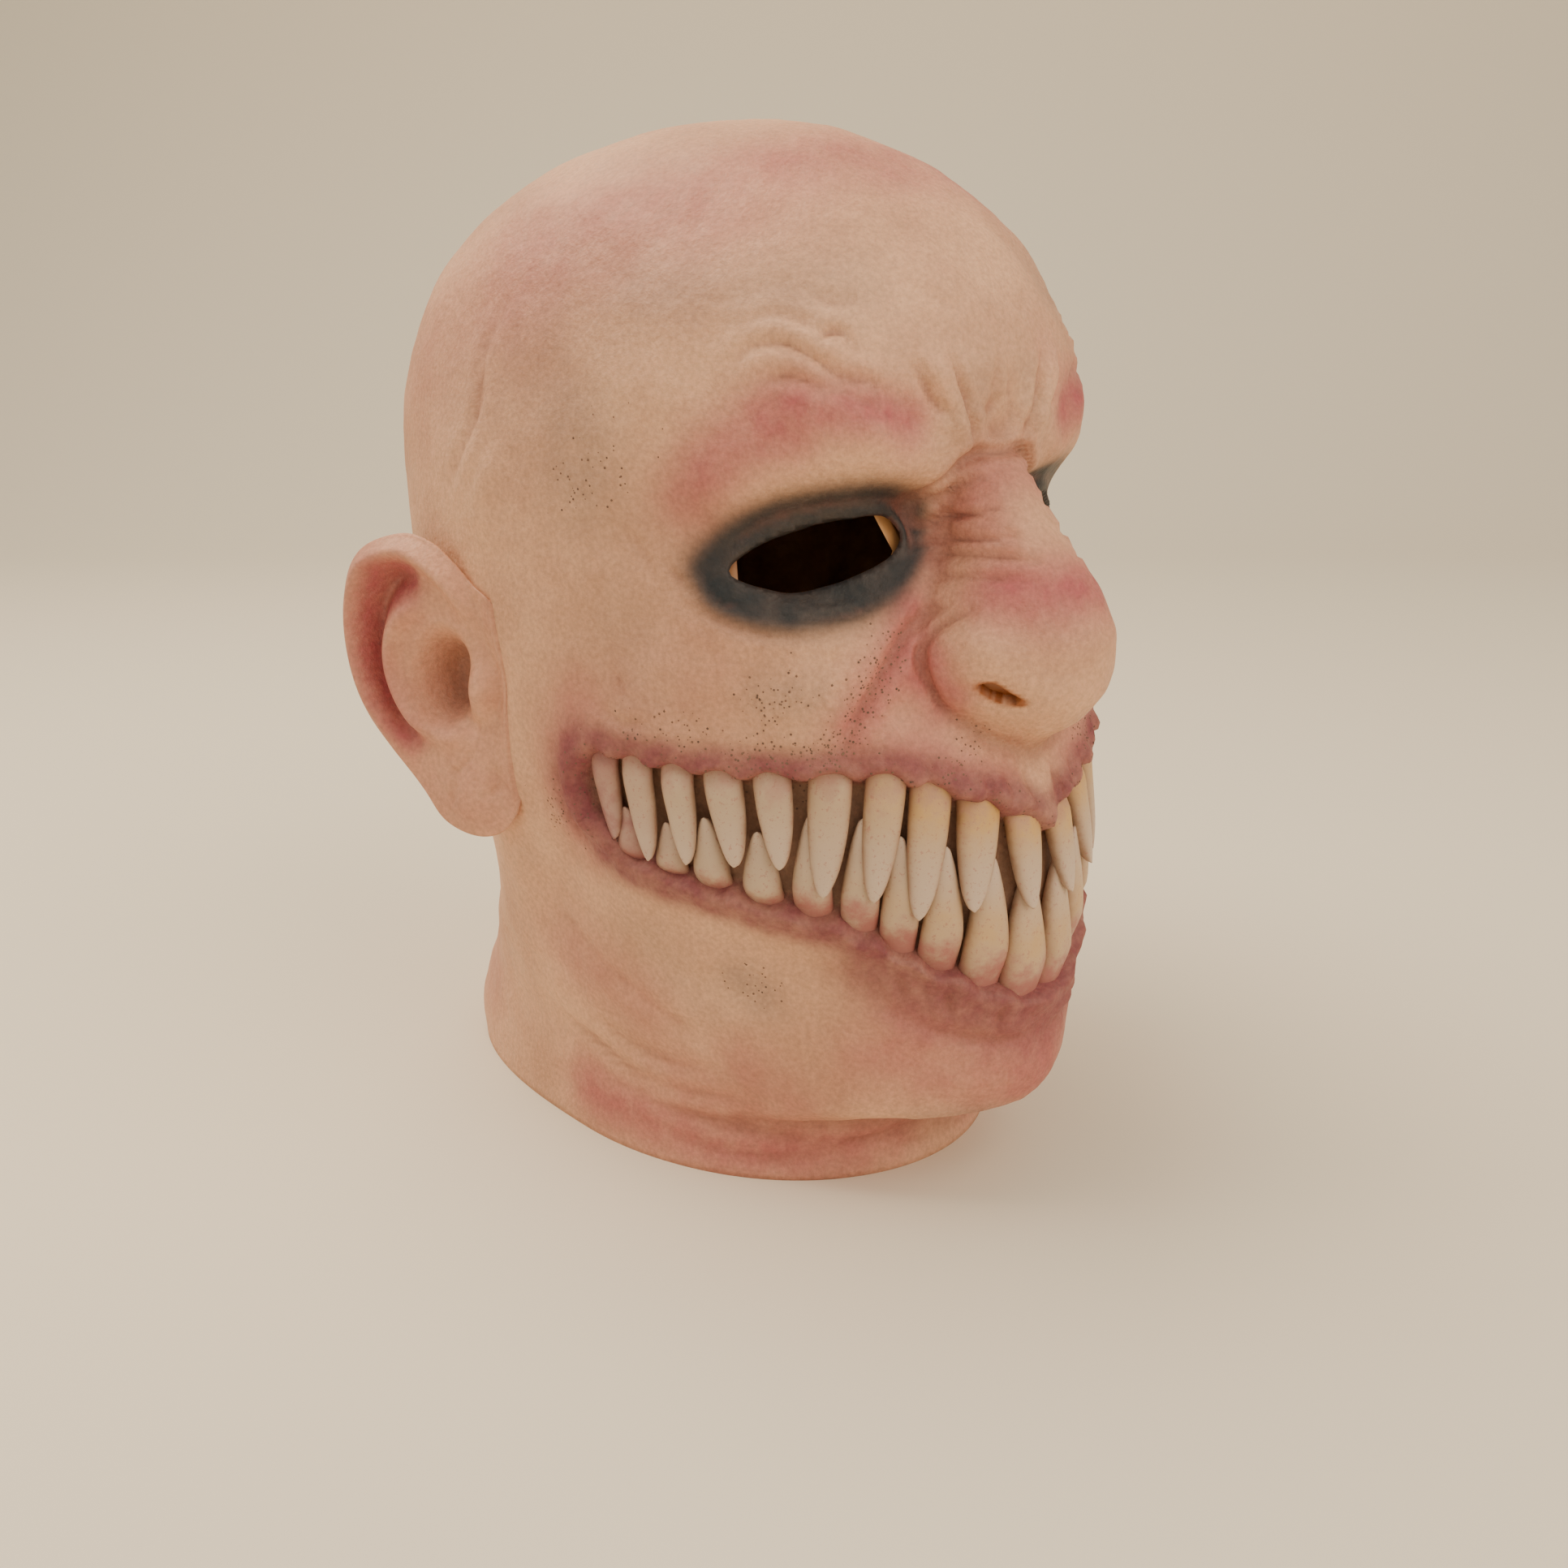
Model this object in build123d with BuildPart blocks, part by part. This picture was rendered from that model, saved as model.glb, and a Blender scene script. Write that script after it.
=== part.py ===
from build123d import *
from math import cos, pi, radians, sin, sqrt
import os

# Full-head latex costume mask: a thin moulded skin pulled over the wearer's head, with ears, lips
# and a wide mouth of long teeth closed behind by a set-back web. Millimetres, +Z up, the face
# towards -Y, the wearer's right side at -X. The origin is on the floor under the middle of the mask.

os.makedirs("parts", exist_ok=True)

# ---- skin ------------------------------------------------------------------------------------
WALL = 2.5                      # thickness of the moulded latex
OUTLINE_STEPS = 32              # points that each outline of the head is drawn through
BELOW_RIM = 12.0                # how far the hollow runs on below the neck rim

# Outlines of the head from the neck rim up: height, front y, back y, half width, y of the widest
# place, power of the front curve, power of the back curve, share of the wall taken upright.
HEAD = [
    (0.0, -75.0, 108.0, 67.0, 8.0, 2.0, 2.6, 0.0),
    (10.0, -74.0, 109.0, 66.5, 10.0, 2.0, 2.6, 0.0),
    (20.0, -79.0, 107.0, 66.0, 12.0, 2.0, 2.5, -0.6),
    (29.0, -103.0, 103.0, 66.0, 14.0, 1.9, 2.4, -0.9),
    (42.0, -107.8, 96.0, 69.0, 16.0, 1.86, 2.2, 0.0),
    (54.0, -108.0, 90.0, 72.0, 17.0, 1.85, 2.1, 0.0),
    (65.0, -107.5, 85.0, 74.0, 18.0, 1.85, 2.0, 0.0),
    (90.0, -107.0, 78.0, 79.0, 20.0, 1.95, 1.9, 0.0),
    (115.0, -103.5, 88.0, 83.0, 22.0, 2.0, 1.9, 0.0),
    (140.0, -97.0, 105.0, 85.0, 22.0, 2.1, 2.0, 0.0),
    (165.0, -88.0, 115.0, 86.0, 22.0, 2.25, 2.0, 0.0),
    (185.0, -82.0, 118.0, 86.0, 22.0, 2.35, 2.0, 0.0),
    (201.0, -84.0, 118.0, 86.0, 22.0, 2.4, 2.0, 0.0),
    (220.0, -85.0, 113.0, 84.0, 20.0, 2.3, 2.0, 0.2),
    (240.0, -77.0, 101.5, 78.0, 18.0, 2.25, 2.0, 0.4),
    (257.0, -62.5, 83.0, 67.0, 14.0, 2.2, 2.0, 0.65),
    (270.0, -45.0, 61.0, 50.5, 10.0, 2.1, 2.0, 0.85),
    (278.0, -27.0, 38.0, 31.0, 7.0, 2.0, 2.0, 0.95),
    (282.5, -3.0, 15.0, 9.0, 6.0, 2.0, 2.0, 1.0),
]

# Nose: height, front y and half width of each level cut; every cut is an ellipse about one y.
NOSE_CENTRE_Y = -78.0
NOSE = [
    (131.0, -101.0, 14.0),
    (137.0, -111.0, 22.0),
    (146.0, -117.0, 28.5),
    (156.0, -118.0, 29.0),
    (166.0, -114.5, 25.0),
    (176.0, -108.5, 18.5),
    (187.0, -99.0, 15.0),
    (196.0, -91.5, 12.5),
    (207.0, -83.0, 6.0),
]

# ---- openings --------------------------------------------------------------------------------
EYE_CENTRE = (-46.0, -72.0, 180.0)
EYE_BEARING = 32.0              # degrees from straight ahead towards the wearer's right
EYE_OUTLINE = [                 # along the face towards the nose, and up
    (-23.0, -3.0), (-15.0, 3.0), (-6.0, 6.5), (3.0, 8.0), (13.0, 9.0),
    (18.0, 3.0), (12.0, -4.5), (3.0, -7.0), (-8.0, -8.0), (-17.0, -7.0),
]
NOSTRIL_CENTRE = (-20.0, -103.0, 143.5)
NOSTRIL_SIZE = (14.0, 5.0)
NOSTRIL_LINE = (1.0, -0.4, 0.0)         # direction of the slot's length
NOSTRIL_AIM = (-0.3, -0.75, -0.6)       # direction that the nostril faces
NOSTRIL_DEPTH = 26.0
CUT_REACH = 25.0                # how far the eye's cut runs each way through the skin

# The mouth seen from the side, y and z, from the rear corner forward along each lip.
UPPER_LIP_LINE = [
    (-19.0, 131.0), (-38.0, 132.0), (-54.0, 131.0), (-69.0, 131.0),
    (-84.0, 131.0), (-97.0, 126.0), (-104.0, 118.0), (-109.0, 109.0),
]
LOWER_LIP_LINE = [
    (-24.0, 97.0), (-41.0, 92.0), (-55.0, 90.0), (-69.0, 87.0),
    (-84.0, 81.0), (-98.0, 72.0), (-107.0, 65.0), (-112.0, 60.0),
]
MOUTH_CORNER = (-15.5, 114.0)
MOUTH_FRONT_Y = -150.0          # clear in front of the face
MOUTH_HALF_SPAN = 130.0         # clear of both sides of the head
LIP_WIDTH = 7.0
LIP_PROUD = 2.5
WEB_THICKNESS = 2.0
WEB_LAP = 6.0                   # how far the web runs on behind the lips
LIP_SPLIT_Z = 108.0

# ---- teeth -----------------------------------------------------------------------------------
# Bearings are degrees from straight ahead about the point (0, TOOTH_AXIS_Y). Front tooth first:
# root bearing, root z, tip bearing, tip z, width, proud of the skin at the root, and at the tip.
TOOTH_AXIS_Y = -20.0
FAR_OUTSIDE = 200.0             # beyond the head in every direction from the tooth axis
HALVINGS = 40                   # halvings of that distance when the skin is searched for
UPPER_TEETH = [
    (6.0, 115.0, 8.0, 92.0, 11.0, 0.0, 2.0),
    (15.0, 120.0, 19.5, 92.0, 12.0, 0.5, 3.0),
    (23.5, 125.0, 27.5, 92.0, 12.0, 1.0, 3.5),
    (32.5, 128.0, 35.0, 97.0, 12.0, 1.0, 3.5),
    (42.0, 129.0, 43.0, 97.0, 12.0, 1.0, 3.5),
    (52.0, 129.0, 49.0, 102.0, 11.5, 1.0, 3.0),
    (61.0, 128.0, 57.5, 101.0, 11.0, 0.5, 2.5),
    (69.5, 127.0, 67.0, 100.0, 10.0, 0.5, 2.5),
    (78.0, 128.0, 75.5, 98.0, 9.5, 0.5, 2.0),
    (86.5, 129.0, 84.0, 103.0, 8.5, 0.0, 1.5),
]
LOWER_TEETH = [
    (5.3, 68.0, 4.0, 99.0, 12.5, 1.5, -0.5),
    (14.5, 72.5, 13.0, 104.0, 12.0, 1.5, -0.5),
    (23.5, 79.0, 23.0, 108.0, 10.5, 1.5, -0.5),
    (30.0, 85.0, 30.5, 111.0, 9.5, 0.5, -1.0),
    (37.0, 89.0, 37.0, 116.0, 10.0, 0.0, -1.0),
    (45.0, 91.5, 46.0, 116.0, 10.5, 0.0, -1.0),
    (53.5, 92.5, 55.0, 111.0, 10.5, -0.5, -1.0),
    (63.0, 94.5, 64.5, 113.0, 9.5, -0.5, -1.0),
    (72.0, 96.0, 72.5, 111.0, 9.0, -0.5, -1.0),
    (80.0, 98.0, 81.0, 113.0, 8.5, -0.5, -1.0),
]
UPPER_THICKNESS = 0.55          # thickness of a tooth as a share of its width
LOWER_THICKNESS = 0.5
# share of the way from root to tip, and width there as a share of the full width
UPPER_TAPER = [(0.0, 0.86), (0.3, 1.0), (0.65, 0.74), (0.9, 0.4), (1.0, 0.16)]
LOWER_TAPER = [(0.0, 0.74), (0.25, 1.0), (0.55, 0.76), (0.85, 0.34), (1.0, 0.14)]

# ---- ears ------------------------------------------------------------------------------------
EAR_ROOT = (-84.0, 24.0, 138.0)
EAR_SWING = 22.0                # degrees that the ear's flat stands out from the side of the head
EAR_THICKNESS = 8.0
EAR_OUTLINE = [                 # forward and up from the root
    (0.0, 29.0), (-9.0, 36.5), (-20.0, 39.5), (-34.0, 34.5), (-40.0, 23.0), (-40.5, 7.0),
    (-36.5, -9.0), (-29.5, -21.0), (-19.0, -33.0), (-12.0, -41.0), (-1.0, -44.0), (8.0, -41.0),
    (11.0, -30.0), (8.0, -12.0), (3.0, 8.0),
]
EAR_DISH = [                    # the hollow inside the rim
    (-8.0, 27.0), (-22.0, 30.0), (-33.0, 20.0), (-34.5, 6.0), (-30.0, -9.0),
    (-21.0, -17.0), (-9.0, -13.0), (-4.0, 5.0),
]
EAR_DISH_DEPTH = 5.0
EAR_STEM = (-18.0, 4.0)         # middle of the hollow's back, where it meets the head
EAR_STEM_RADIUS = (17.0, 21.0)
EAR_STEM_LENGTH = 26.0


def head_outline(section, inset):
    """Points round the head at one height, drawn in by inset, starting at the back."""
    height, front, back, half_width, widest_y, front_power, back_power, upright = section
    level = inset * sqrt(1.0 - upright**2)
    side = level if upright > 0 else inset
    points = []
    for step in range(OUTLINE_STEPS):
        angle = pi / 2 + 2 * pi * step / OUTLINE_STEPS
        across, along = cos(angle), sin(angle)
        power = front_power if along < 0 else back_power
        reach = (widest_y - front - level) if along < 0 else (back - side - widest_y)
        x = (half_width - side) * abs(across) ** (2 / power) * (1 if across > 0 else -1)
        y = widest_y + reach * abs(along) ** (2 / power) * (1 if along > 0 else -1)
        points.append((x, y))
    return points


def skin_reach(bearing, height):
    """Distance from the tooth axis to the head's surface, along a bearing at one height."""
    below = [section for section in HEAD if section[0] <= height][-1]
    above = [section for section in HEAD if section[0] > height][0]
    share = (height - below[0]) / (above[0] - below[0])
    mixed = [low + share * (high - low) for low, high in zip(below, above)]
    front, half_width, widest_y, power = mixed[1], mixed[3], mixed[4], mixed[5]
    near, far = 0.0, FAR_OUTSIDE
    for _ in range(HALVINGS):
        middle = (near + far) / 2
        x = middle * sin(radians(bearing))
        y = TOOTH_AXIS_Y - middle * cos(radians(bearing))
        inside = abs(x / half_width) ** power + abs((y - widest_y) / (front - widest_y)) ** power < 1
        near, far = (middle, far) if inside else (near, middle)
    return near


def tooth_point(bearing, height, proud):
    """A point on the wearer's right side, standing proud of the skin at a bearing and height."""
    reach = skin_reach(bearing, height) + proud
    angle = radians(bearing)
    return Vector(-reach * sin(angle), TOOTH_AXIS_Y - reach * cos(angle), height)


def head_form(inset):
    """Solid bounded by the head and nose, drawn in by inset; its hollow runs on below the rim."""
    with BuildPart() as form:
        if inset > 0:
            with BuildSketch(Plane.XY.offset(-BELOW_RIM)):
                with BuildLine():
                    Spline(*head_outline(HEAD[0], inset), periodic=True)
                make_face()
        for section in HEAD:
            rise = -inset * section[7]
            with BuildSketch(Plane.XY.offset(section[0] + rise)):
                with BuildLine():
                    Spline(*head_outline(section, inset), periodic=True)
                make_face()
        loft()
        for level, (height, front, half_width) in enumerate(NOSE):
            lift = inset if level == 0 else -inset if level == len(NOSE) - 1 else 0.0
            with BuildSketch(Plane.XY.offset(height + lift)):
                with Locations((0, NOSE_CENTRE_Y)):
                    Ellipse(half_width - inset, NOSE_CENTRE_Y - front - inset)
        loft()
    return form.part


def mouth_region(margin):
    """The mouth seen from the side, grown by margin, as a solid right across the head."""
    corner = (MOUTH_CORNER[0] + margin, MOUTH_CORNER[1])
    upper_line = [(y, z + margin) for y, z in UPPER_LIP_LINE]
    lower_line = [(y, z - margin) for y, z in LOWER_LIP_LINE]
    with BuildPart() as region:
        with BuildSketch(Plane.YZ):
            with BuildLine():
                Spline(corner, *upper_line)
                Spline(corner, *lower_line)
                Polyline(
                    upper_line[-1],
                    (MOUTH_FRONT_Y, upper_line[-1][1]),
                    (MOUTH_FRONT_Y, lower_line[-1][1]),
                    lower_line[-1],
                )
            make_face()
        extrude(amount=MOUTH_HALF_SPAN, both=True)
    return region.part


outer_form = head_form(0)
inner_form = head_form(WALL)
mouth_hole = mouth_region(0)
mouth_with_lips = mouth_region(LIP_WIDTH)

# ---- head skin -------------------------------------------------------------------------------
eye_x_dir = (cos(radians(EYE_BEARING)), -sin(radians(EYE_BEARING)), 0)
eye_normal = (-sin(radians(EYE_BEARING)), -cos(radians(EYE_BEARING)), 0)
eye_plane = Plane(origin=EYE_CENTRE, x_dir=eye_x_dir, z_dir=eye_normal)

with BuildPart() as eye_cutter:
    with BuildSketch(eye_plane):
        with BuildLine():
            Spline(*EYE_OUTLINE, periodic=True)
        make_face()
    extrude(amount=CUT_REACH, both=True)

with BuildPart() as nostril_cutter:
    with BuildSketch(Plane(origin=NOSTRIL_CENTRE, x_dir=NOSTRIL_LINE, z_dir=NOSTRIL_AIM)):
        SlotOverall(*NOSTRIL_SIZE)
    extrude(amount=NOSTRIL_DEPTH / 2, both=True)

with BuildPart() as head_skin:
    add(outer_form)
    add(inner_form, mode=Mode.SUBTRACT)
    add(mouth_with_lips, mode=Mode.SUBTRACT)
    for cutter in (eye_cutter.part, nostril_cutter.part):
        add(cutter, mode=Mode.SUBTRACT)
        add(cutter.mirror(Plane.YZ), mode=Mode.SUBTRACT)
head_skin.part.label = "head_skin"
export_step(head_skin.part, "parts/head_skin.step")

# ---- lips ------------------------------------------------------------------------------------
with BuildPart() as lip_ring:
    add(head_form(-LIP_PROUD))
    add(inner_form, mode=Mode.SUBTRACT)
    add(mouth_with_lips, mode=Mode.INTERSECT)
    add(mouth_hole, mode=Mode.SUBTRACT)

with BuildPart() as upper_lip:
    add(lip_ring.part)
    split(bisect_by=Plane.XY.offset(LIP_SPLIT_Z), keep=Keep.TOP)
upper_lip.part.label = "upper_lip"
export_step(upper_lip.part, "parts/upper_lip.step")

with BuildPart() as lower_lip:
    add(lip_ring.part)
    split(bisect_by=Plane.XY.offset(LIP_SPLIT_Z), keep=Keep.BOTTOM)
lower_lip.part.label = "lower_lip"
export_step(lower_lip.part, "parts/lower_lip.step")

# ---- web behind the teeth --------------------------------------------------------------------
with BuildPart() as mouth_web:
    add(inner_form)
    add(mouth_region(WEB_LAP), mode=Mode.INTERSECT)
    add(head_form(WALL + WEB_THICKNESS), mode=Mode.SUBTRACT)
mouth_web.part.label = "mouth_web"
export_step(mouth_web.part, "parts/mouth_web.step")

# ---- teeth -----------------------------------------------------------------------------------
def tooth_solid(row, thickness, taper, neighbours):
    """One pointed tooth of the wearer's right side, cut clear of the skin parts it stands on."""
    root_bearing, root_z, tip_bearing, tip_z, width, root_proud, tip_proud = row
    root = tooth_point(root_bearing, root_z, root_proud)
    tip = tooth_point(tip_bearing, tip_z, tip_proud)
    across = Vector(cos(radians(root_bearing)), -sin(radians(root_bearing)), 0)
    with BuildPart() as tooth:
        for share, fullness in taper:
            place = root + (tip - root) * share
            with BuildSketch(Plane(origin=place, x_dir=across, z_dir=tip - root)):
                Ellipse(width / 2 * fullness, width / 2 * thickness * fullness)
        loft()
        for neighbour in neighbours:
            add(neighbour, mode=Mode.SUBTRACT)
    return tooth.part


def export_row(jaw, rows, thickness, taper, neighbours):
    """Write one jaw's teeth, numbered from the middle, on the right and mirrored on the left."""
    for number, row in enumerate(rows, start=1):
        right_tooth = tooth_solid(row, thickness, taper, neighbours)
        for side, tooth in (("right", right_tooth), ("left", right_tooth.mirror(Plane.YZ))):
            tooth.label = f"{jaw}_tooth_{side}_{number}"
            export_step(tooth, f"parts/{tooth.label}.step")


export_row("upper", UPPER_TEETH, UPPER_THICKNESS, UPPER_TAPER, (mouth_web.part, upper_lip.part))
export_row("lower", LOWER_TEETH, LOWER_THICKNESS, LOWER_TAPER, (mouth_web.part, lower_lip.part))

# ---- ears ------------------------------------------------------------------------------------
swing = radians(EAR_SWING)
ear_forward = Vector(sin(swing), -cos(swing), 0)
ear_outward = Vector(-cos(swing), -sin(swing), 0)
ear_plane = Plane(origin=EAR_ROOT, x_dir=ear_forward, z_dir=ear_outward)

with BuildPart() as ear_right:
    with BuildSketch(ear_plane):
        with BuildLine():
            Spline(*EAR_OUTLINE, periodic=True)
        make_face()
    extrude(amount=EAR_THICKNESS / 2, both=True)
    with BuildSketch(ear_plane.offset(EAR_THICKNESS / 2)):
        with BuildLine():
            Spline(*EAR_DISH, periodic=True)
        make_face()
    extrude(amount=-EAR_DISH_DEPTH, mode=Mode.SUBTRACT)
    with BuildSketch(ear_plane):
        with Locations(EAR_STEM):
            Ellipse(*EAR_STEM_RADIUS)
    extrude(amount=-EAR_STEM_LENGTH)
    add(outer_form, mode=Mode.SUBTRACT)
ear_right.part.label = "ear_right"
export_step(ear_right.part, "parts/ear_right.step")

with BuildPart() as ear_left:
    add(ear_right.part.mirror(Plane.YZ))
ear_left.part.label = "ear_left"
export_step(ear_left.part, "parts/ear_left.step")
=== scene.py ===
"""Full-head latex monster mask, sculpted around its CAD frame.

The mask is one slip-cast latex skin: head, lips and the web behind the teeth are a single sheet, so they are
one sculpted surface here. Ears and teeth are sculpted one by one. All sculpting is in millimetres, in the
frame's axes: +Z up, the face towards -Y, the wearer's right side at -X. A place on the head is written as a
bearing, in degrees from straight ahead towards the wearer's right, and a height.
"""
import copy
import math

import bpy
import numpy as np
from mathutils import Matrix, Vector


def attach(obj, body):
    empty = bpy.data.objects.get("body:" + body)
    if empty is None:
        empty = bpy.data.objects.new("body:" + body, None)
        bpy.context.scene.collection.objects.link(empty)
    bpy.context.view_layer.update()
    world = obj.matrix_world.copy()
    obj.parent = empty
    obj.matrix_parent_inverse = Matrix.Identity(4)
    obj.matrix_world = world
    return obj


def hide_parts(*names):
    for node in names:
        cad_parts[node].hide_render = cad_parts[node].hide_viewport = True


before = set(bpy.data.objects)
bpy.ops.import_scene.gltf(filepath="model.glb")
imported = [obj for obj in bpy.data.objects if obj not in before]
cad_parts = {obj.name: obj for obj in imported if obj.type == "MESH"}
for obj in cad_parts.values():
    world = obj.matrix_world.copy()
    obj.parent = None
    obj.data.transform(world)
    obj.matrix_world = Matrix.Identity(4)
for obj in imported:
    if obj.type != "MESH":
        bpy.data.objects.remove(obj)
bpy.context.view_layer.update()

bl_info = {
    "name": "Latex monster mask",
    "version": (1, 0, 0),
    "blender": (4, 5, 0),
    "location": "View3D > Sidebar > Mask",
    "description": "Sculpts and paints a full-head latex mask around its CAD frame",
    "category": "Object",
}

MM = 0.001
SEED = 11
AXIS_Y = -20.0                  # the vertical axis that bearings are measured about
BRUSH_REACH = 2.6               # radii at which a mound or a spray has faded out
MOUTH_REACH = (104, 45, 146)    # bearing either way, lowest and highest that the mouth can touch
LINING_GAP = 0.8                # the lining lies this far inside the wall at the open edges,
LINING_GAP_AWAY = 1.6           # this much further away from them
LINING_GAP_MOUTH = 5.0          # and this much further behind the web
RIM_OVER_WALL = 1.2             # so that a turned-in rim reaches past the lining
LINING_ROWS, LINING_COLUMNS = 3, 2
OUTSIDE = -99.0                 # how far inside a loop a point counts as that is nowhere near it
FAR = 1e9

# Head outlines from the neck rim up: height, front y, back y, half width, y of the widest place,
# power of the front curve, power of the back curve.
HEAD = np.array([
    (0, -75, 108, 67, 8, 2, 2.6),
    (10, -74, 109, 66.5, 10, 2, 2.6),
    (20, -79, 107, 66, 12, 2, 2.5),
    (29, -103, 103, 66, 14, 1.9, 2.4),
    (42, -107.8, 96, 69, 16, 1.86, 2.2),
    (54, -108, 90, 72, 17, 1.85, 2.1),
    (65, -107.5, 85, 74, 18, 1.85, 2),
    (90, -107, 78, 79, 20, 1.95, 1.9),
    (115, -103.5, 88, 83, 22, 2, 1.9),
    (140, -97, 105, 85, 22, 2.1, 2),
    (165, -88, 115, 86, 22, 2.25, 2),
    (185, -82, 118, 86, 22, 2.35, 2),
    (201, -84, 118, 86, 22, 2.4, 2),
    (220, -85, 113, 84, 20, 2.3, 2),
    (240, -77, 101.5, 78, 18, 2.25, 2),
    (257, -62.5, 83, 67, 14, 2.2, 2),
    (270, -45, 61, 50.5, 10, 2.1, 2),
    (278, -27, 38, 31, 7, 2, 2),
    (282.5, -4, 16, 9, 6, 2, 2),
    (283, 5.5, 6.5, 0.5, 6, 2, 2),
])

# Nose: height, front y and half width of each level cut; every cut is an ellipse about one y.
NOSE_CENTRE_Y = -78.0
NOSE = np.array([
    (128, -98, 9),
    (131, -102.5, 14.5),
    (137, -111, 22),
    (146, -117, 28.5),
    (156, -118, 29),
    (166, -114.5, 25),
    (176, -108, 18.5),
    (187, -98, 15),
    (196, -90.5, 12.5),
    (205, -83, 6),
])
NOSE_FILLET = 7.0               # mm over which the nose melts into the face

# Edge of the mouth: bearing and height, along the upper lip and the lower lip from the middle back.
UPPER_LIP = np.array([(0, 109), (6, 114), (13, 118.5), (22, 123.5), (32, 127), (43, 127),
                      (54, 126.3), (64, 125.8), (76, 126.5), (85, 128), (91, 127)])
LOWER_LIP = np.array([(0, 61.5), (9, 65), (20, 72.5), (29, 79), (39, 86),
                      (50, 88.8), (62, 91.8), (73, 94.5), (84, 98), (90, 105)])
MOUTH_CORNER = (94.5, 118.5)
MM_PER_DEGREE = 1.5             # arc along the face for one degree of bearing
WEB_DEPTH = 3.8

# Teeth, middle first: root bearing and height, tip bearing and height, width, and how far the root
# and then the tip stand out further than a plain tooth's.
UPPER_TEETH = [
    (4.8, 118, 5.2, 89, 10.8, 0, 0.6),
    (13.4, 123.5, 16.4, 91, 11.8, 0, 0.8),
    (22.7, 128.5, 25.7, 90, 10.8, 0, 1),
    (31, 130.5, 33.5, 94.5, 10.2, 0, 1),
    (41.4, 131, 42.4, 95.5, 10.9, 0, 1),
    (53, 130, 50.5, 102.5, 9.8, 0, 1),
    (63, 129, 59.5, 101.5, 10.2, 0, 0.8),
    (72.3, 128.5, 69.8, 100, 8.8, 0, 0.6),
    (81, 129.5, 78.5, 99.5, 8.6, 0, 0.4),
    (88.5, 130, 87, 103, 8, -1, 0),
]
LOWER_TEETH = [
    (4.7, 63, 4.2, 98.5, 13.6, 0.4, -2.4),
    (13, 68.5, 12, 103.5, 12.6, 0.2, -2.4),
    (21.2, 74.5, 20.6, 107.5, 11, 0, -2.4),
    (28.6, 80.5, 28.8, 111, 9.8, -0.2, -2.4),
    (35.9, 85.5, 35.6, 115.5, 9.8, -0.4, -2.2),
    (44.7, 88.5, 45.2, 116, 10.2, -0.4, -2.2),
    (54.5, 90, 55.5, 111, 10.2, -0.4, -2),
    (65.2, 92, 66.5, 113, 10, -0.6, -2),
    (74.5, 94, 75, 110, 9, -0.8, -1.8),
    (83.5, 96, 84.5, 112, 8.6, -1, -1.8),
]

# Eye hole: bearing and height round its edge.
EYE_HOLE = np.array([(61, 175), (58, 179.5), (52, 183.5), (44, 186), (37, 187), (29.5, 187.3),
                     (25, 183.5), (24.2, 180.5), (27, 177.3), (32, 174.5), (38, 172), (44, 170.5),
                     (50, 169.8), (56, 171.5)])
# Nostril: x and height round its edge.
NOSTRIL = np.array([(-26, 148.8), (-23, 149.6), (-20, 147.4), (-16, 143.9), (-20, 144.2), (-23.6, 146.4)])


# ---- curves ----------------------------------------------------------------------------------
def smooth_curve(knots, values, at):
    """Values at new places, along a curve through the knots that never overshoots them."""
    step = np.diff(knots)
    slope = np.diff(values) / step
    tangent = np.zeros(len(values))
    same = slope[:-1] * slope[1:] > 0
    near, far = slope[:-1][same], slope[1:][same]
    tangent[1:-1][same] = 2 * near * far / (near + far)
    tangent[0], tangent[-1] = slope[0], slope[-1]
    at = np.clip(at, knots[0], knots[-1])
    cell = np.clip(np.searchsorted(knots, at, side="right") - 1, 0, len(step) - 1)
    t = (at - knots[cell]) / step[cell]
    h = step[cell]
    return (values[cell] * (1 + 2 * t) * (1 - t) ** 2 + values[cell + 1] * t * t * (3 - 2 * t)
            + tangent[cell] * h * t * (1 - t) ** 2 - tangent[cell + 1] * h * t * t * (1 - t))


def column(table, index, at):
    """One column of a table read at new heights."""
    return smooth_curve(table[:, 0], table[:, index], np.asarray(at, float))


def through(points, count, closed=False):
    """Evenly numbered points on a smooth curve through given ones."""
    points = np.asarray(points, float)
    if closed:
        points = np.vstack([points[-2:], points, points[:3]])
    else:
        points = np.vstack([2 * points[0] - points[1], points, 2 * points[-1] - points[-2]])
    spans = len(points) - (5 if closed else 3)
    place = np.linspace(0, spans, count, endpoint=not closed)
    cell = np.minimum(place.astype(int), spans - 1)
    t = (place - cell)[:, None]
    first = cell + (1 if closed else 0)
    a, b, c, d = (points[first + k] for k in range(4))
    return 0.5 * (2 * b + (c - a) * t + (2 * a - 5 * b + 4 * c - d) * t ** 2
                  + (3 * b - a - 3 * c + d) * t ** 3)


def ease(x, low, high):
    """0 below low, 1 above high and smooth between."""
    t = np.clip((x - low) / (high - low), 0, 1)
    return t * t * (3 - 2 * t)


def bell(x, width):
    return np.exp(-(x / width) ** 2)


def ripple(points, wavelength, seed, waves=14):
    """Smooth random unevenness about -1 to 1, from waves of about one length in all directions."""
    rng = np.random.default_rng(seed)
    total = np.zeros(points.shape[:-1])
    for _ in range(waves):
        heading = rng.normal(size=3)
        heading /= np.linalg.norm(heading)
        length = wavelength * rng.uniform(0.7, 1.5)
        total += np.sin(points @ heading * (2 * math.pi / length) + rng.uniform(0, 2 * math.pi))
    return total / math.sqrt(waves)


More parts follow.
